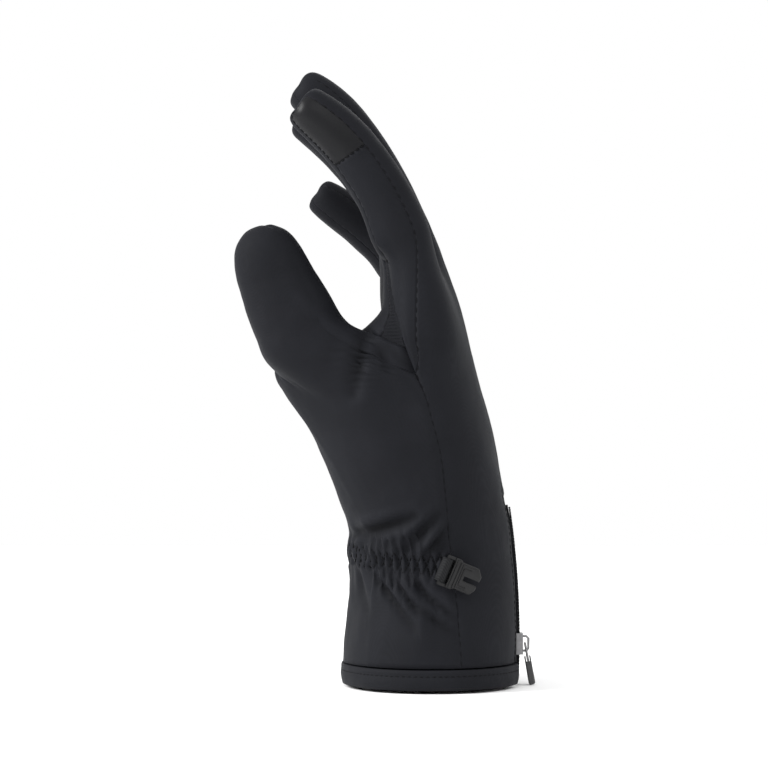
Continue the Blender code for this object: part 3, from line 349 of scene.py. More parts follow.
def softshell(name, colour, roughness, weave_height, gloss=0.06):
    """Softshell's face: a very fine plain weave, a little uneven, with painted shade in the bottom of a fold
    and a painted highlight on a raised fold. The attribute press holds how far the cloth was pressed, in
    millimetres."""
    material = bpy.data.materials.new(name)
    material.use_nodes = True
    nodes = material.node_tree.nodes
    links = material.node_tree.links
    shader = nodes["Principled BSDF"]
    place = node_of(material, "ShaderNodeTexCoord")
    turned = node_of(material, "ShaderNodeMapping")
    turned.inputs["Rotation"].default_value = (0.0, 0.0, math.radians(38.0))
    links.new(place.outputs["Object"], turned.inputs["Vector"])
    warp = node_of(material, "ShaderNodeTexWave", wave_type="BANDS", bands_direction="X")
    weft = node_of(material, "ShaderNodeTexWave", wave_type="BANDS", bands_direction="Z")
    across = node_of(material, "ShaderNodeTexWave", wave_type="BANDS", bands_direction="Y")
    for wave in (warp, weft, across):
        wave.inputs["Scale"].default_value = 1150.0
        wave.inputs["Distortion"].default_value = 0.6
        wave.inputs["Detail"].default_value = 1.0
        wave.inputs["Detail Scale"].default_value = 2.0
        links.new(turned.outputs["Vector"], wave.inputs["Vector"])
    first = node_of(material, "ShaderNodeMath", operation="MULTIPLY")
    second = node_of(material, "ShaderNodeMath", operation="ADD")
    links.new(warp.outputs["Fac"], first.inputs[0])
    links.new(across.outputs["Fac"], first.inputs[1])
    links.new(first.outputs[0], second.inputs[0])
    links.new(weft.outputs["Fac"], second.inputs[1])
    nap = node_of(material, "ShaderNodeTexNoise")
    nap.inputs["Scale"].default_value = 900.0
    nap.inputs["Detail"].default_value = 3.0
    links.new(place.outputs["Object"], nap.inputs["Vector"])
    grain = node_of(material, "ShaderNodeBump")
    grain.inputs["Strength"].default_value = 0.35
    grain.inputs["Distance"].default_value = weave_height
    links.new(second.outputs[0], grain.inputs["Height"])
    fuzz = node_of(material, "ShaderNodeBump")
    fuzz.inputs["Strength"].default_value = 0.25
    fuzz.inputs["Distance"].default_value = weave_height
    links.new(nap.outputs["Fac"], fuzz.inputs["Height"])
    links.new(grain.outputs["Normal"], fuzz.inputs["Normal"])
    links.new(fuzz.outputs["Normal"], shader.inputs["Normal"])
    wear = node_of(material, "ShaderNodeTexNoise")
    wear.inputs["Scale"].default_value = 38.0
    wear.inputs["Detail"].default_value = 4.0
    links.new(place.outputs["Object"], wear.inputs["Vector"])
    shade = node_of(material, "ShaderNodeValToRGB")
    shade.color_ramp.elements[0].position = 0.3
    shade.color_ramp.elements[0].color = (*[channel * 0.88 for channel in colour], 1.0)
    shade.color_ramp.elements[1].position = 0.7
    shade.color_ramp.elements[1].color = (*[channel * 1.12 for channel in colour], 1.0)
    links.new(wear.outputs["Fac"], shade.inputs["Fac"])
    threads = node_of(material, "ShaderNodeMix", data_type="RGBA", blend_type="MULTIPLY")
    threads.inputs["Factor"].default_value = 0.22
    links.new(shade.outputs["Color"], threads.inputs["A"])
    links.new(second.outputs[0], threads.inputs["B"])
    # Painted shade and highlight: the colour is darkened where the cloth is pressed in, down to 0.45 at 2 mm
    # deep, and lightened a little where it rises.
    pressed = node_of(material, "ShaderNodeAttribute", attribute_name="press")
    painted_fold_shade_and_highlight = node_of(material, "ShaderNodeMapRange")
    painted_fold_shade_and_highlight.inputs["From Min"].default_value = -2.0
    painted_fold_shade_and_highlight.inputs["From Max"].default_value = 0.5
    painted_fold_shade_and_highlight.inputs["To Min"].default_value = 0.45
    painted_fold_shade_and_highlight.inputs["To Max"].default_value = 1.14
    links.new(pressed.outputs["Fac"], painted_fold_shade_and_highlight.inputs["Value"])
    folded = node_of(material, "ShaderNodeVectorMath", operation="SCALE")
    links.new(threads.outputs["Result"], folded.inputs[0])
    links.new(painted_fold_shade_and_highlight.outputs["Result"], folded.inputs["Scale"])
    links.new(folded.outputs["Vector"], shader.inputs["Base Color"])
    shader.inputs["Roughness"].default_value = roughness
    shader.inputs["Specular IOR Level"].default_value = gloss
    shader.inputs["Sheen Weight"].default_value = 0.015
    shader.inputs["Sheen Roughness"].default_value = 0.45
    shader.inputs["Sheen Tint"].default_value = (0.85, 0.9, 1.0, 1.0)
    return material


def fleece(name, colour):
    """The brushed lining inside: short soft pile in small tufts."""
    material = bpy.data.materials.new(name)
    material.use_nodes = True
    nodes = material.node_tree.nodes
    links = material.node_tree.links
    shader = nodes["Principled BSDF"]
    place = node_of(material, "ShaderNodeTexCoord")
    tufts = node_of(material, "ShaderNodeTexVoronoi")
    tufts.inputs["Scale"].default_value = 620.0
    links.new(place.outputs["Object"], tufts.inputs["Vector"])
    pile = node_of(material, "ShaderNodeBump")
    pile.inputs["Strength"].default_value = 0.7
    pile.inputs["Distance"].default_value = 0.35 * MM
    links.new(tufts.outputs["Distance"], pile.inputs["Height"])
    links.new(pile.outputs["Normal"], shader.inputs["Normal"])
    shade = node_of(material, "ShaderNodeValToRGB")
    shade.color_ramp.elements[0].color = (*[channel * 0.7 for channel in colour], 1.0)
    shade.color_ramp.elements[1].color = (*[channel * 1.3 for channel in colour], 1.0)
    links.new(tufts.outputs["Distance"], shade.inputs["Fac"])
    links.new(shade.outputs["Color"], shader.inputs["Base Color"])
    shader.inputs["Roughness"].default_value = 0.95
    shader.inputs["Sheen Weight"].default_value = 0.05
    return material


shell_cloth = softshell("softshell_face", (0.0086, 0.0090, 0.0112), 0.66, 0.05 * MM)
lining_cloth = fleece("fleece_lining", (0.020, 0.0205, 0.023))

# Creases on the thumb side: from a to b in X and Z, how deep and how wide, all in millimetres. A crease has
# a soft ridge along one side, as a share of its depth, and a negative depth makes a raised fold.
NEAR_CREASES = [
    # a_x, a_z, b_x, b_z, depth, width, ridge
    (-26.8, 146.6, -32.1, 121.5, 2.1, 3.6, 0.8),
    (-23.5, 145.4, -18.6, 130.9, 1.5, 2.2, 0.6),
    (-20.4, 143.8, -9.4, 131.5, 0.75, 2.6, 0.8),
    (-37.0, 146.0, -45.0, 128.0, 0.5, 3.2, 0.5),
    (-54.3, 161.2, -29.3, 140.7, -0.6, 3.6, 0.0),
    (-31.5, 63.2, -6.8, 71.0, 1.9, 3.2, 0.8),
    (-12.4, 57.0, 3.0, 72.5, 1.4, 2.5, 0.8),
    (-2.8, 54.0, 7.4, 67.6, 1.1, 2.1, 0.8),
    (-21.0, 58.5, -7.0, 64.0, 0.7, 2.0, 0.7),
    (-33.8, 69.2, -30.3, 60.5, -0.9, 1.7, 0.0),
    (-31.0, 49.8, -26.4, 32.5, 1.5, 2.4, 0.8),
    (-24.9, 48.8, -7.0, 25.5, 1.9, 2.5, 0.9),
    (-16.3, 47.4, -5.8, 31.5, 1.8, 2.2, 0.9),
    (-8.0, 36.0, 9.6, 23.2, 1.5, 2.6, 0.8),
    (-7.3, 45.4, 2.8, 32.7, 1.7, 2.2, 0.9),
    (1.0, 37.7, 9.6, 28.6, 1.3, 2.2, 0.8),
]


def segment_distance(points, a, b):
    """Signed sideways distance and place along a segment, for many flat points."""
    run = b - a
    along = ((points - a) @ run) / (run @ run)
    held = np.clip(along, 0.0, 1.0)
    away = points - (a + held[:, None] * run)
    side = np.sign(away[:, 1] * run[0] - away[:, 0] * run[1])
    return np.linalg.norm(away, axis=1) * side, along


def creases_push(points, normals):
    """How far each point moves along its normal, in millimetres, for the creases on the thumb side."""
    flat = points[:, [0, 2]] / MM
    push = np.zeros(len(points))
    for a_x, a_z, b_x, b_z, depth, width, ridge in NEAR_CREASES:
        distance, along = segment_distance(flat, np.array((a_x, a_z)), np.array((b_x, b_z)))
        fade = np.clip(1.15 - np.abs(along - 0.42) * 1.35, 0.0, 1.0)
        valley = np.exp(-((distance / width) ** 2) * 2.2)
        swell = ridge * np.exp(-(((distance - 1.25 * width) / width) ** 2) * 1.8)
        push += depth * fade * (swell - valley)
    return push * np.clip(-normals[:, 1] * 1.8, 0.0, 1.0)


# The elastic is a band 10 mm wide under the palm half of the cuff. Each row is a place across the glove, from
# the thumb side to the far side, and the height of the band's middle there, all in millimetres.
ELASTIC_Z = [
    (-48.0, 50.3),
    (-35.0, 53.0),
    (-20.0, 54.8),
    (0.0, 55.2),
    (20.0, 54.8),
    (35.0, 53.6),
    (48.0, 52.0),
]
ELASTIC_HALF = 4.9
GATHER_PITCH = 6.9
CUFF_RADIUS = 41.0


def elastic_middle(y):
    return np.interp(y, [row[0] for row in ELASTIC_Z], [row[1] for row in ELASTIC_Z])


def gathers_push(points, normals):
    """The gathers of the palm half over the elastic: puckers between the zigzags, and folds beyond them."""
    x, y, z = (points / MM).T
    place = np.arctan2(y, -x + 6.0) * CUFF_RADIUS
    rise = z - elastic_middle(y)
    over = np.clip(rise - ELASTIC_HALF, 0.0, None)
    under = np.clip(-rise - ELASTIC_HALF, 0.0, None)
    inside = np.clip(rise, -ELASTIC_HALF, ELASTIC_HALF)
    toward_seam = np.clip(-y / 25.0, -1.0, 1.0)
    lean = (-0.62 * inside + 0.85 * over + 0.80 * under) * toward_seam
    wander = np.array([noise.noise(Vector((p * 0.06, r * 0.03, 3.0))) for p, r in zip(place, rise)])
    theta = (place + lean + 2.6 * wander) * 2.0 * math.pi / GATHER_PITCH
    pleat = 1.2 - 2.2 * np.abs(np.sin(theta / 2.0)) ** 1.3
    broad = 1.1 - 2.0 * np.abs(np.sin(theta / 4.0 + 0.5 + 1.5 * wander)) ** 1.2
    short_part = 0.50 * pleat * np.exp(-over / 3.2) * np.exp(-under / 3.4)
    off_band = 1.0 - np.exp(-(over + under) / 2.5)
    broad_part = 0.75 * broad * off_band * np.exp(-over / 7.0) * np.exp(-under / 8.0)
    triangle = np.abs(((place / GATHER_PITCH) % 1.0) * 2.0 - 1.0) * 2.0 - 1.0
    first = np.abs(rise / ELASTIC_HALF - triangle)
    second = np.abs(rise / ELASTIC_HALF + triangle)
    held = np.exp(-((np.minimum(first, second) / 0.26) ** 2))
    band = np.clip((ELASTIC_HALF + 1.0 - np.abs(rise)) / 1.5, 0.0, 1.0)
    short_part = short_part * (1.0 - 0.6 * band)
    pucker = band * (0.35 - 1.10 * held)
    palm_half = np.clip((11.0 - x) / 5.0, 0.0, 1.0) * np.clip((z - 12.0) / 10.0, 0.0, 1.0)
    return (short_part + broad_part + pucker) * palm_half * (z < 95.0)


DRAPE_SIZE = 16.0 * MM
DRAPE_SHIFT = Vector((1.0, 0.0, 0.0))


def drape(height):
    """The slight rise and fall of cloth that has been worn, about so many millimetres high."""
    def push(points, normals):
        rise = [noise.fractal(Vector(point) / DRAPE_SIZE + DRAPE_SHIFT, 0.8, 2.1, 3) for point in points]
        return height * np.array(rise)
    return push


RIM_HOLD = 2.2 * MM
DEEPEST_DENT = -2.2
HIGHEST_RISE = 1.5
LINING_EXTRA = 0.5
RIM_EDGE = math.radians(55.0)


def press_piece(piece, pushes):
    """Moves a panel along its outward normals by the sum of the pushes, in millimetres. Its sewn edges are
    held. Dents carry the lining in with them, and a little further."""
    count = len(piece.data.vertices)
    points = np.empty(count * 3)
    normals = np.empty(count * 3)
    piece.data.vertices.foreach_get("co", points)
    piece.data.vertices.foreach_get("normal", normals)
    points = points.reshape(-1, 3)
    normals = normals.reshape(-1, 3)
    face_side = np.zeros(count, dtype=bool)
    group = piece.vertex_groups["outside"].index
    for vertex in piece.data.vertices:
        for entry in vertex.groups:
            if entry.group == group and entry.weight > 0.5:
                face_side[vertex.index] = True
    outward = np.where(face_side[:, None], normals, -normals)
    held = np.clip(rim_distance(piece, points) / RIM_HOLD, np.where(face_side, 0.0, 1.0), 1.0)
    amount = sum(push(points, outward) for push in pushes) * held
    amount = np.clip(amount, DEEPEST_DENT, np.where(face_side, HIGHEST_RISE, 0.0))
    amount = np.where(face_side, amount, amount - LINING_EXTRA * np.clip(-2.0 * amount, 0.0, 1.0))
    # The amount is kept as the attribute press, which the softshell turns into painted shade in dents and a
    # painted highlight on rises.
    shade = piece.data.attributes.new("press", "FLOAT", "POINT")
    shade.data.foreach_set("value", amount)
    moved = points + outward * (amount * MM)[:, None]
    piece.data.vertices.foreach_set("co", moved.ravel())
    piece.data.update()


def rim_distance(piece, points):
    """How far each point lies from the panel's sewn edges."""
    mesh = bmesh.new()
    mesh.from_mesh(piece.data)
    rim = [
        (edge.verts[0].co + edge.verts[1].co) / 2.0
        for edge in mesh.edges
        if edge.calc_face_angle(0.0) > RIM_EDGE
    ]
    mesh.free()
    tree = KDTree(len(rim))
    for index, place in enumerate(rim):
        tree.insert(place, index)
    tree.balance()
    return np.array([tree.find(point)[2] for point in points])


back_cloth = sew_panel("back_panel", "back_cloth", CLOTH_LEVELS, (shell_cloth, lining_cloth))
press_piece(back_cloth, [drape(0.22), creases_push])

# The palm, the thumb and the sides of the fingers.
# The same softshell in the panels of the palm half, gathered over the elastic at the wrist. Palm and thumb are
# one run of cloth, full at the root of the thumb. Folded strips join the fronts and backs of the fingers.
THUMB_SWELL_PLACE = (-60.5, -22.0, 129.0)
THUMB_SWELL_RADIUS = 13.0
THUMB_SWELL_HEIGHT = 1.3


def swell_push(points, normals):
    away = np.linalg.norm(points / MM - THUMB_SWELL_PLACE, axis=1) / THUMB_SWELL_RADIUS
    return THUMB_SWELL_HEIGHT * np.exp(-(away ** 2) * 1.6)


palm_cloth = sew_panel("palm_panel", "palm_cloth", CLOTH_LEVELS, (shell_cloth, lining_cloth),
                       ("thumb_panel", "thumb_inner"))
index_side_cloth = sew_panel("index_side", "index_side_cloth", CLOTH_LEVELS, (shell_cloth, lining_cloth))
press_piece(palm_cloth, [drape(0.25), gathers_push, swell_push, creases_push])
press_piece(index_side_cloth, [drape(0.2)])
for node in ("fourchette_1", "fourchette_2", "fourchette_3"):
    sew_panel(node, f"{node}_cloth", CLOTH_LEVELS, (shell_cloth, lining_cloth))

# The fingertip patch for a touch screen, and the knitted patch in the crook of the thumb.
# A smooth coated cloth is sewn over the thumb side of the index fingertip. A strip of rib knit, its ribs
# lying across, lets the palm stretch where the thumb turns.
patch_leather = softshell("patch_leather", (0.0080, 0.0081, 0.0090), 0.36, 0.010 * MM, 0.09)
touch_leather = sew_panel("touch_patch", "touch_leather", 3, (patch_leather, lining_cloth))
knit_yarn = softshell("rib_knit", (0.0080, 0.0083, 0.0100), 0.85, 0.08 * MM)
rib_cloth = sew_panel("rib_patch", "rib_cloth", 4, (knit_yarn, lining_cloth))
RIB_PITCH = 1.4
RIB_HEIGHT = 0.28


def ribs_push(points, normals):
    return RIB_HEIGHT * np.sin(points[:, 2] / MM * 2.0 * math.pi / RIB_PITCH)


press_piece(rib_cloth, [ribs_push])

# The sewing.
# Dark polyester thread: plain seams with the thread just showing in the groove, and a two-needle zigzag that
# holds the elastic inside the palm half of the wrist.
bpy.ops.object.select_all(action="DESELECT")
along_x = (0.0, math.radians(90.0), 0.0)
bpy.ops.mesh.primitive_uv_sphere_add(segments=6, ring_count=6, radius=0.5, rotation=along_x)
one_stitch = bpy.context.object
bpy.ops.object.transform_apply(location=True, rotation=True, scale=True)
stitch_points = np.array([vertex.co[:] for vertex in one_stitch.data.vertices])
stitch_points[:, 0] = np.sign(stitch_points[:, 0]) * np.abs(stitch_points[:, 0] * 2.0) ** 0.75 / 2.0
stitch_points[:, 2] -= 0.9 * (stitch_points[:, 0] * 2.0) ** 4 * 0.5
stitch_faces = [list(polygon.vertices) for polygon in one_stitch.data.polygons]
bpy.data.objects.remove(one_stitch)


def yarn(name, colour, roughness, scale):
    """Twisted thread or yarn: fine slanting plies."""
    material = bpy.data.materials.new(name)
    material.use_nodes = True
    links = material.node_tree.links
    shader = material.node_tree.nodes["Principled BSDF"]
    place = node_of(material, "ShaderNodeTexCoord")
    plies = node_of(material, "ShaderNodeTexWave", wave_type="BANDS", bands_direction="DIAGONAL")
    plies.inputs["Scale"].default_value = scale
    plies.inputs["Distortion"].default_value = 1.0
    links.new(place.outputs["Object"], plies.inputs["Vector"])
    twist = node_of(material, "ShaderNodeBump")
    twist.inputs["Strength"].default_value = 0.5
    twist.inputs["Distance"].default_value = 0.06 * MM
    links.new(plies.outputs["Fac"], twist.inputs["Height"])
    links.new(twist.outputs["Normal"], shader.inputs["Normal"])
    shade = node_of(material, "ShaderNodeValToRGB")
    shade.color_ramp.elements[0].color = (*[channel * 0.7 for channel in colour], 1.0)
    shade.color_ramp.elements[1].color = (*[channel * 1.25 for channel in colour], 1.0)
    links.new(plies.outputs["Fac"], shade.inputs["Fac"])
    links.new(shade.outputs["Color"], shader.inputs["Base Color"])
    shader.inputs["Roughness"].default_value = roughness
    shader.inputs["Specular IOR Level"].default_value = 0.08
    return material


seam_thread = yarn("seam_thread", (0.0048, 0.0049, 0.0056), 0.75, 700.0)


def lay_stitches(name, paths, length, gap, thickness, lift, thread):
    """Stitches laid end to end along paths of (place, normal), each with its own copy of the one stitch."""
    points, faces = [], []
    for path in paths:
        places = np.array([place for place, _ in path])
        normals = np.array([normal for _, normal in path])
        steps = np.r_[0.0, np.cumsum(np.linalg.norm(np.diff(places, axis=0), axis=1))]
        begin = gap / 2.0
        while begin + length < steps[-1]:
            head = np.array([np.interp(begin, steps, places[:, k]) for k in range(3)])
            tail = np.array([np.interp(begin + length, steps, places[:, k]) for k in range(3)])
            up = np.array([np.interp(begin + length / 2.0, steps, normals[:, k]) for k in range(3)])
            run = tail - head
            run /= max(np.linalg.norm(run), 1e-9)
            up -= run * (up @ run)
            up /= max(np.linalg.norm(up), 1e-9)
            side = np.cross(up, run)
            middle = (head + tail) / 2.0 + up * lift
            shaped = stitch_points * (length, thickness, thickness)
            first = len(points)
            points += list(middle + shaped[:, :1] * run + shaped[:, 1:2] * side + shaped[:, 2:] * up)
            faces += [[first + index for index in face] for face in stitch_faces]
            begin += length + gap
    mesh = bpy.data.meshes.new(name)
    mesh.from_pydata([tuple(point) for point in points], [], faces)
    mesh.materials.append(thread)
    piece = bpy.data.objects.new(name, mesh)
    bpy.context.scene.collection.objects.link(piece)
    select_only(piece)
    bpy.ops.object.shade_smooth()
    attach(piece, "glove")
    return piece


def seam_paths(piece, others):
    """The runs of a panel's outer edge that lie against the other panels, each as (place, normal)."""
    tree = tree_of(others)
    group = piece.vertex_groups["outside"].index
    outer = {
        vertex.index for vertex in piece.data.vertices
        for entry in vertex.groups if entry.group == group and entry.weight > 0.99
    }
    mesh = bmesh.new()
    mesh.from_mesh(piece.data)
    mesh.verts.ensure_lookup_table()
    links = {}
    for edge in mesh.edges:
        a, b = edge.verts
        if a.index not in outer or b.index not in outer or edge.calc_face_angle(0.0) < math.radians(35.0):
            continue
        if tree.find_nearest((a.co + b.co) / 2.0, 0.45 * MM)[0] is None:
            continue
        links.setdefault(a.index, []).append(b.index)
        links.setdefault(b.index, []).append(a.index)
    paths = []
    used = set()
    starts = [index for index in links if len(links[index]) == 1] + list(links)
    for start in starts:
        if start in used:
            continue
        run = [start]
        used.add(start)
        while True:
            onward = [index for index in links[run[-1]] if index not in used]
            if not onward:
                break
            run.append(onward[0])
            used.add(onward[0])
        if len(run) > 3:
            corners = [mesh.verts[index] for index in run]
            paths.append([(np.array(corner.co), np.array(corner.normal)) for corner in corners])
    mesh.free()
    return paths


SEAMS = [
    # the panel whose edge is followed, the piece, and the panels on the other side
    ("back_panel", back_cloth, (
        "palm_panel", "thumb_panel", "index_side", "touch_patch",
        "fourchette_1", "fourchette_2", "fourchette_3",
    )),
    ("index_side", index_side_cloth, ("thumb_panel", "palm_panel", "rib_patch", "fourchette_1")),
    ("palm_panel", palm_cloth, ("fourchette_1", "fourchette_2", "fourchette_3")),
    ("rib_patch", rib_cloth, ("palm_panel", "thumb_panel", "thumb_inner")),
]
for node, piece, others in SEAMS:
    paths = seam_paths(piece, others)
    lay_stitches(f"{node}_seam_thread", paths, 2.9 * MM, 1.1 * MM, 0.34 * MM, -0.06 * MM, seam_thread)
patch_border = seam_paths(touch_leather, ("index_side", "palm_panel", "fourchette_1"))
lay_stitches(
    "touch_patch_border_thread", patch_border, 1.9 * MM, 0.6 * MM, 0.45 * MM, 0.16 * MM, seam_thread)


def round_the_cuff(tree, turns, height_of, centre_x):
    """Places on the cuff's outer surface, for turns in degrees from the palm towards the far side."""
    path = []
    for turn in turns:
        way = Vector((-math.cos(math.radians(turn)), math.sin(math.radians(turn)), 0.0))
        start = Vector((centre_x, 0.0, height_of(turn))) + way * 0.12
        place, normal, _, _ = tree.ray_cast(start, -way, 0.12)
        if place is not None:
            path.append((np.array(place), np.array(normal)))
    return path


cuff_surface = surface_of([palm_cloth])
TURN_STEP = 0.8
ELASTIC_TURNS = np.arange(-96.0, 94.0, TURN_STEP)
CUFF_HALF_WIDTH = 44.0
ZIGZAG_SHARE = 0.96


def zigzag_height(turn, phase):
    """The height of one zigzag of stitches, which crosses the elastic between the puckers."""
    place = math.radians(turn) * CUFF_RADIUS
    middle = elastic_middle(math.sin(math.radians(turn)) * CUFF_HALF_WIDTH)
    triangle = abs(((place / GATHER_PITCH) % 1.0) * 2.0 - 1.0) * 2.0 - 1.0
    return (middle + phase * triangle * ELASTIC_HALF * ZIGZAG_SHARE) * MM


zigzags = [
    round_the_cuff(cuff_surface, ELASTIC_TURNS, lambda turn, phase=phase: zigzag_height(turn, phase), 0.006)
    for phase in (1.0, -1.0)
]
lay_stitches("elastic_zigzag_thread", zigzags, 1.9 * MM, 0.5 * MM, 0.5 * MM, 0.10 * MM, seam_thread)

# The hem binding.
# A folded strip of the same cloth binds the cuff's mouth, open at the zip. One row of topstitching near its
# upper edge holds it, and draws the cloth in a little.
binding_cloth = softshell("binding_cloth", (0.0094, 0.0098, 0.0120), 0.66, 0.06 * MM)
hem = merged_copy("hem_binding", "hem_cloth")
hem.data.materials.append(binding_cloth)
subdivide(hem, 2)
HEM_STITCH_Z = 5.9
for vertex in hem.data.vertices:
    turn = math.atan2(vertex.co.y, vertex.co.x)
    pinch = math.exp(-(((vertex.co.z / MM - HEM_STITCH_Z) / 0.8) ** 2))
    place = Vector((math.cos(turn) * 7.0, math.sin(turn) * 7.0, vertex.co.z / (5.0 * MM)))
    ripple = 0.22 * noise.noise(place)
    vertex.co += vertex.normal * (ripple - 0.32 * pinch) * MM * (vertex.normal.z ** 2 < 0.5)
select_only(hem)
bpy.ops.object.shade_smooth_by_angle(angle=SMOOTH_EDGE)
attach(hem, "glove")
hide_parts("hem_binding")
hem_surface = surface_of([hem])
HEM_TURNS = np.arange(-164.0, 165.0, TURN_STEP)
hem_path = round_the_cuff(hem_surface, HEM_TURNS, lambda turn: HEM_STITCH_Z * MM, 0.0)
lay_stitches("hem_topstitch_thread", [hem_path], 1.9 * MM, 0.7 * MM, 0.42 * MM, 0.06 * MM, seam_thread)

# The zip on the back of the cuff.
# Two woven tapes carry a nylon coil that meshes down the middle. A small metal slider closes it, drawn by a
# wire link and a moulded pull. The cloth beside the zip has a facing, topstitched along its sides, coloured
# darker than the shell as painted shade for the recess along the zip.
tape_weave = softshell("tape_weave", (0.0075, 0.0077, 0.0088), 0.8, 0.10 * MM)
for side in ("near", "far"):
    tape = merged_copy(f"zip_tape_{side}", f"zip_tape_{side}_cloth")
    tape.data.materials.append(tape_weave)
    subdivide(tape, 2)
    select_only(tape)
    bpy.ops.object.shade_smooth_by_angle(angle=SMOOTH_EDGE)
    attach(tape, "glove")
    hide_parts(f"zip_tape_{side}")

FACING_HALF = 17.0 * MM
FACING_RISE = 4.0 * MM
FACING_SEAM = 1.2 * MM
FACING_START = 9.0 * MM
CUT_MARGIN = 4.0 * MM
facing_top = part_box("zip_tape_near")[1][2] + FACING_RISE
# Painted shade: the facing's colour is darker than the shell's, standing in for the shade of the recess along
# the zip.
back_cloth.data.materials.append(softshell("facing_cloth_painted_shade", (0.0050, 0.0052, 0.0062), 0.8, 0.08 * MM))
mesh = bmesh.new()
mesh.from_mesh(back_cloth.data)
for place, way in (
    ((0.0, -FACING_HALF, 0.0), (0.0, 1.0, 0.0)),
    ((0.0, FACING_HALF, 0.0), (0.0, 1.0, 0.0)),
    ((0.0, 0.0, facing_top), (0.0, 0.0, 1.0)),
):
    near = []
    for face in mesh.faces:
        x, y, z = face.calc_center_median()
        if x > 0.0 and abs(y) < FACING_HALF + CUT_MARGIN and z < facing_top + CUT_MARGIN:
            near.append(face)
    edges = {edge for face in near for edge in face.edges}
    corners = {corner for face in near for corner in face.verts}
    cut_part = near + list(edges) + list(corners)
    bmesh.ops.bisect_plane(mesh, geom=cut_part, dist=0.01 * MM, plane_co=place, plane_no=way)
# The outer faces beside the zip take the darker facing colour, painted shade for the recess along the zip.
for face in mesh.faces:
    x, y, z = face.calc_center_median()
    if x > 0.0 and abs(y) < FACING_HALF and z < facing_top and face.normal.x > 0.1:
        face.material_index = len(back_cloth.data.materials) - 1
mesh.to_mesh(back_cloth.data)
mesh.free()
back_surface = surface_of([back_cloth])
facing_paths = []
for side in (-1.0, 1.0):
    path = []
    for height in np.arange(FACING_START, facing_top - FACING_SEAM, 0.8 * MM):
        start = Vector((0.12, side * (FACING_HALF - FACING_SEAM), height))
        place, normal = back_surface.ray_cast(start, Vector((-1.0, 0.0, 0.0)))[:2]
        if place is not None:
            path.append((place, normal))
    facing_paths.append(path)
lay_stitches("facing_topstitch_thread", facing_paths, 1.9 * MM, 0.7 * MM, 0.42 * MM, 0.06 * MM, seam_thread)

chain_mesh = frame["nodes"]["zip_chain"].data
chain_points = np.array([vertex.co[:] for vertex in chain_mesh.vertices])
chain_low, chain_high = chain_points[:, 2].min(), chain_points[:, 2].max()
chain_heights = np.linspace(chain_low, chain_high, 13)
chain_tops = []
for height in chain_heights:
    near = chain_points[np.abs(chain_points[:, 2] - height) < 5.0 * MM]
    chain_tops.append(near[:, 0].max())
chain_fit = np.polyfit(chain_heights, chain_tops, 2)

COIL_PITCH = 1.35 * MM
COIL_WIRE = 0.78 * MM
COIL_SIDE = 1.25 * MM
COIL_REACH = 3.1 * MM
COIL_START = 1.0 * MM
CORE_SHRINK = 0.42 * MM
coil_nylon = yarn("coil_nylon", (0.0085, 0.0085, 0.0095), 0.4, 300.0)
bpy.ops.object.select_all(action="DESELECT")
along_y = (math.radians(90.0), 0.0, 0.0)
bpy.ops.mesh.primitive_cylinder_add(vertices=8, radius=0.5, depth=1.0, rotation=along_y)
one_tooth = bpy.context.object
bpy.ops.object.transform_apply(location=True, rotation=True, scale=True)
bpy.ops.object.mode_set(mode="EDIT")
bpy.ops.mesh.select_all(action="SELECT")
bpy.ops.mesh.bevel(offset=0.16, segments=1, affect="EDGES")
bpy.ops.object.mode_set(mode="OBJECT")
tooth_points = np.array([vertex.co[:] for vertex in one_tooth.data.vertices])
tooth_faces = [list(polygon.vertices) for polygon in one_tooth.data.polygons]
bpy.data.objects.remove(one_tooth)
points, faces = [], []
count = int((chain_high - chain_low - 1.5 * MM) / COIL_PITCH)
for number in range(count):
    for side in (-1.0, 1.0):
        height = chain_low + COIL_START + (number + (0.5 if side > 0.0 else 0.0)) * COIL_PITCH
        top = np.polyval(chain_fit, height)
        slope = np.polyval(np.polyder(chain_fit), height)
        first = len(points)
        for x, y, z in tooth_points:
            bulb = 1.0 + 0.25 * math.exp(-(((y * side + 0.42) / 0.12) ** 2))
            points.append((
                top - COIL_WIRE * 0.45 + x * COIL_WIRE * bulb + slope * z * COIL_WIRE,
                side * COIL_SIDE + y * COIL_REACH,
                height + z * COIL_WIRE * 1.15 * bulb,
            ))
        faces += [[first + index for index in face] for face in tooth_faces]
coil_mesh = bpy.data.meshes.new("zip_coil")
coil_mesh.from_pydata(points, [], faces)
coil_mesh.materials.append(coil_nylon)
coil = bpy.data.objects.new("zip_coil", coil_mesh)
bpy.context.scene.collection.objects.link(coil)
select_only(coil)
bpy.ops.object.shade_smooth_by_angle(angle=math.radians(40.0))
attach(coil, "glove")
core = merged_copy("zip_chain", "zip_core")
core.data.materials.append(tape_weave)
for vertex in core.data.vertices:
    vertex.co -= vertex.normal * CORE_SHRINK
subdivide(core, 1)
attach(core, "glove")
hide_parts("zip_chain")


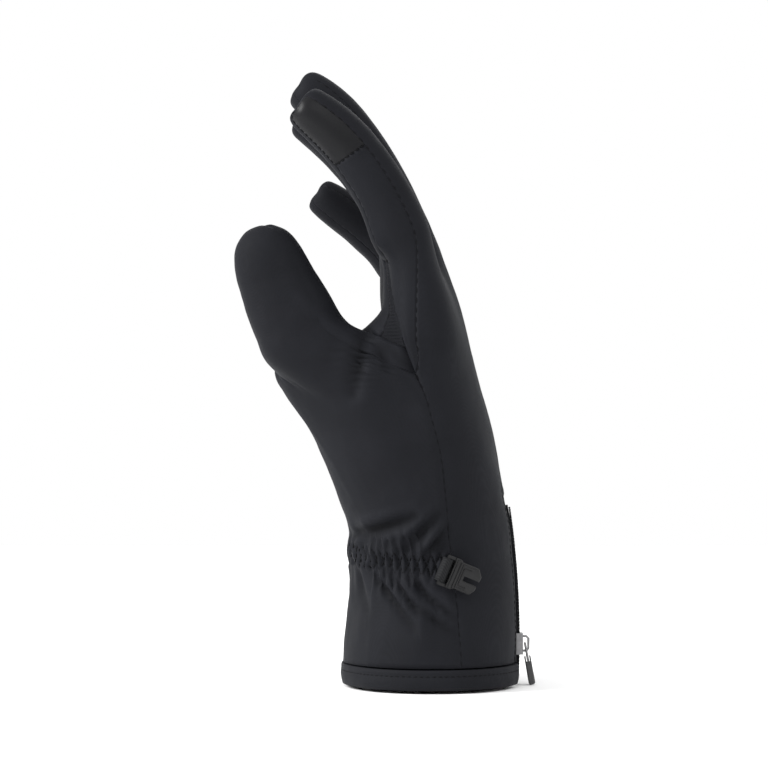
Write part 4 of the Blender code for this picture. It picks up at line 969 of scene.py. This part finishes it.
def moulded(name, colour, roughness, metallic, grain_scale, grain_height):
    """A hard finish with a fine grain, and its colour a little lighter where it has rubbed."""
    material = bpy.data.materials.new(name)
    material.use_nodes = True
    links = material.node_tree.links
    shader = material.node_tree.nodes["Principled BSDF"]
    place = node_of(material, "ShaderNodeTexCoord")
    grain = node_of(material, "ShaderNodeTexNoise")
    grain.inputs["Scale"].default_value = grain_scale
    grain.inputs["Detail"].default_value = 4.0
    links.new(place.outputs["Object"], grain.inputs["Vector"])
    relief = node_of(material, "ShaderNodeBump")
    relief.inputs["Strength"].default_value = 0.35
    relief.inputs["Distance"].default_value = grain_height
    links.new(grain.outputs["Fac"], relief.inputs["Height"])
    links.new(relief.outputs["Normal"], shader.inputs["Normal"])
    shade = node_of(material, "ShaderNodeValToRGB")
    shade.color_ramp.elements[0].position = 0.3
    shade.color_ramp.elements[0].color = (*[channel * 0.85 for channel in colour], 1.0)
    shade.color_ramp.elements[1].position = 0.75
    shade.color_ramp.elements[1].color = (*[channel * 1.2 for channel in colour], 1.0)
    links.new(grain.outputs["Fac"], shade.inputs["Fac"])
    links.new(shade.outputs["Color"], shader.inputs["Base Color"])
    rubbed = node_of(material, "ShaderNodeMapRange")
    rubbed.inputs["To Min"].default_value = roughness * 0.85
    rubbed.inputs["To Max"].default_value = roughness * 1.2
    links.new(grain.outputs["Fac"], rubbed.inputs["Value"])
    links.new(rubbed.outputs["Result"], shader.inputs["Roughness"])
    shader.inputs["Metallic"].default_value = metallic
    shader.inputs["Specular IOR Level"].default_value = 0.5 if metallic else 0.22
    return material


def refinish(node, material):
    mesh = frame["nodes"][node].data
    mesh.materials.clear()
    mesh.materials.append(material)


slider_metal = moulded("slider_metal", (0.20, 0.20, 0.205), 0.38, 1.0, 700.0, 0.02 * MM)
pull_plastic = moulded("pull_plastic", (0.060, 0.060, 0.061), 0.55, 0.0, 1500.0, 0.03 * MM)
refinish("zip_slider", slider_metal)
refinish("zip_link", slider_metal)
refinish("zip_grip", pull_plastic)

# The clip that pairs the gloves.
# A flat moulded hook on a short loop of woven webbing, caught in the long seam beside the elastic. Two ridges
# and a plate with grooves stand proud of the hook's face.
clip_plastic = moulded("clip_plastic", (0.0088, 0.0088, 0.0094), 0.40, 0.0, 1300.0, 0.03 * MM)
webbing = yarn("webbing", (0.0135, 0.0138, 0.0148), 0.8, 420.0)
refinish("clip", clip_plastic)
clip_mount = [mount for mount in frame["record"]["mounts"] if mount["name"] == "clip_face"][0]
CLIP_TURN = math.radians(23.0)
CLIP_SINK = 0.15
clip_n = Vector(clip_mount["axis"]).normalized()
clip_u = Vector((math.cos(CLIP_TURN), 0.0, -math.sin(CLIP_TURN)))
clip_u = (clip_u - clip_n * clip_u.dot(clip_n)).normalized()
clip_v = clip_n.cross(clip_u)
clip_turned = Matrix((clip_u, clip_v, clip_n)).transposed().to_4x4()
clip_place = Matrix.Translation(Vector(clip_mount["pos_m"])) @ clip_turned

# Raised parts of the hook's face: outline in millimetres along and across the hook, and height above it.
CLIP_RAISED = {
    "clip_ridge_left": ([(-5.7, -6.0), (-4.7, -6.2), (-4.7, 6.4), (-5.7, 6.2)], 0.55),
    "clip_ridge_right": ([(-4.1, -5.8), (-3.4, -5.6), (-3.4, 5.7), (-4.1, 5.9)], 0.40),
    "clip_face_plate": (
        [(-2.9, -5.2), (3.7, -5.3), (5.1, -3.3), (5.6, 1.0), (5.7, 2.7), (4.0, 5.2), (-2.9, 5.2)], 0.38),
}
# Grooves and the hook's mouth, cut in the raised plate: lowest and highest u and v.
CLIP_GROOVES = [
    (-2.45, -2.0, -3.7, 4.1),
    (-2.45, 1.3, 3.75, 4.2),
    (-2.45, 1.3, -3.75, -3.3),
    (-2.6, 1.4, -4.6, -4.3),
    (-0.9, 7.0, -1.2, 0.9),
]
for name, (outline, height) in CLIP_RAISED.items():
    bpy.ops.object.select_all(action="DESELECT")
    mesh = bpy.data.meshes.new(name)
    corners = [(u * MM, v * MM, -CLIP_SINK * MM) for u, v in outline]
    mesh.from_pydata(corners, [], [list(range(len(corners)))])
    piece = bpy.data.objects.new(name, mesh)
    bpy.context.scene.collection.objects.link(piece)
    select_only(piece)
    bpy.ops.object.mode_set(mode="EDIT")
    bpy.ops.mesh.select_all(action="SELECT")
    rise = (0.0, 0.0, (height + CLIP_SINK) * MM)
    bpy.ops.mesh.extrude_region_move(TRANSFORM_OT_translate={"value": rise})
    bpy.ops.mesh.select_all(action="SELECT")
    bpy.ops.mesh.normals_make_consistent(inside=False)
    bpy.ops.object.mode_set(mode="OBJECT")
    if name == "clip_face_plate":
        for low_u, high_u, low_v, high_v in CLIP_GROOVES:
            bpy.ops.mesh.primitive_cube_add(size=1.0)
            cutter = bpy.context.object
            size = Matrix.Diagonal(((high_u - low_u) * MM, (high_v - low_v) * MM, 3.0 * MM, 1.0))
            middle = Matrix.Translation(((high_u + low_u) / 2.0 * MM, (high_v + low_v) / 2.0 * MM, 0.0))
            cutter.data.transform(middle @ size)
            select_only(piece)
            cut = piece.modifiers.new("cut", "BOOLEAN")
            cut.operation = "DIFFERENCE"
            cut.object = cutter
            cut.solver = "EXACT"
            bpy.ops.object.modifier_apply(modifier=cut.name)
            bpy.data.objects.remove(cutter)
    edges = piece.modifiers.new("edges", "BEVEL")
    edges.width = 0.12 * MM
    edges.segments = 2
    edges.limit_method = "ANGLE"
    bpy.ops.object.modifier_apply(modifier=edges.name)
    bpy.ops.object.shade_smooth_by_angle(angle=math.radians(40.0))
    piece.data.transform(clip_place)
    piece.data.materials.append(clip_plastic)
    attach(piece, "glove")
strap = merged_copy("clip_strap", "clip_webbing")
strap.data.materials.append(webbing)
subdivide(strap, 2)
select_only(strap)
bpy.ops.object.shade_smooth_by_angle(angle=SMOOTH_EDGE)
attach(strap, "glove")
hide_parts("clip_strap")
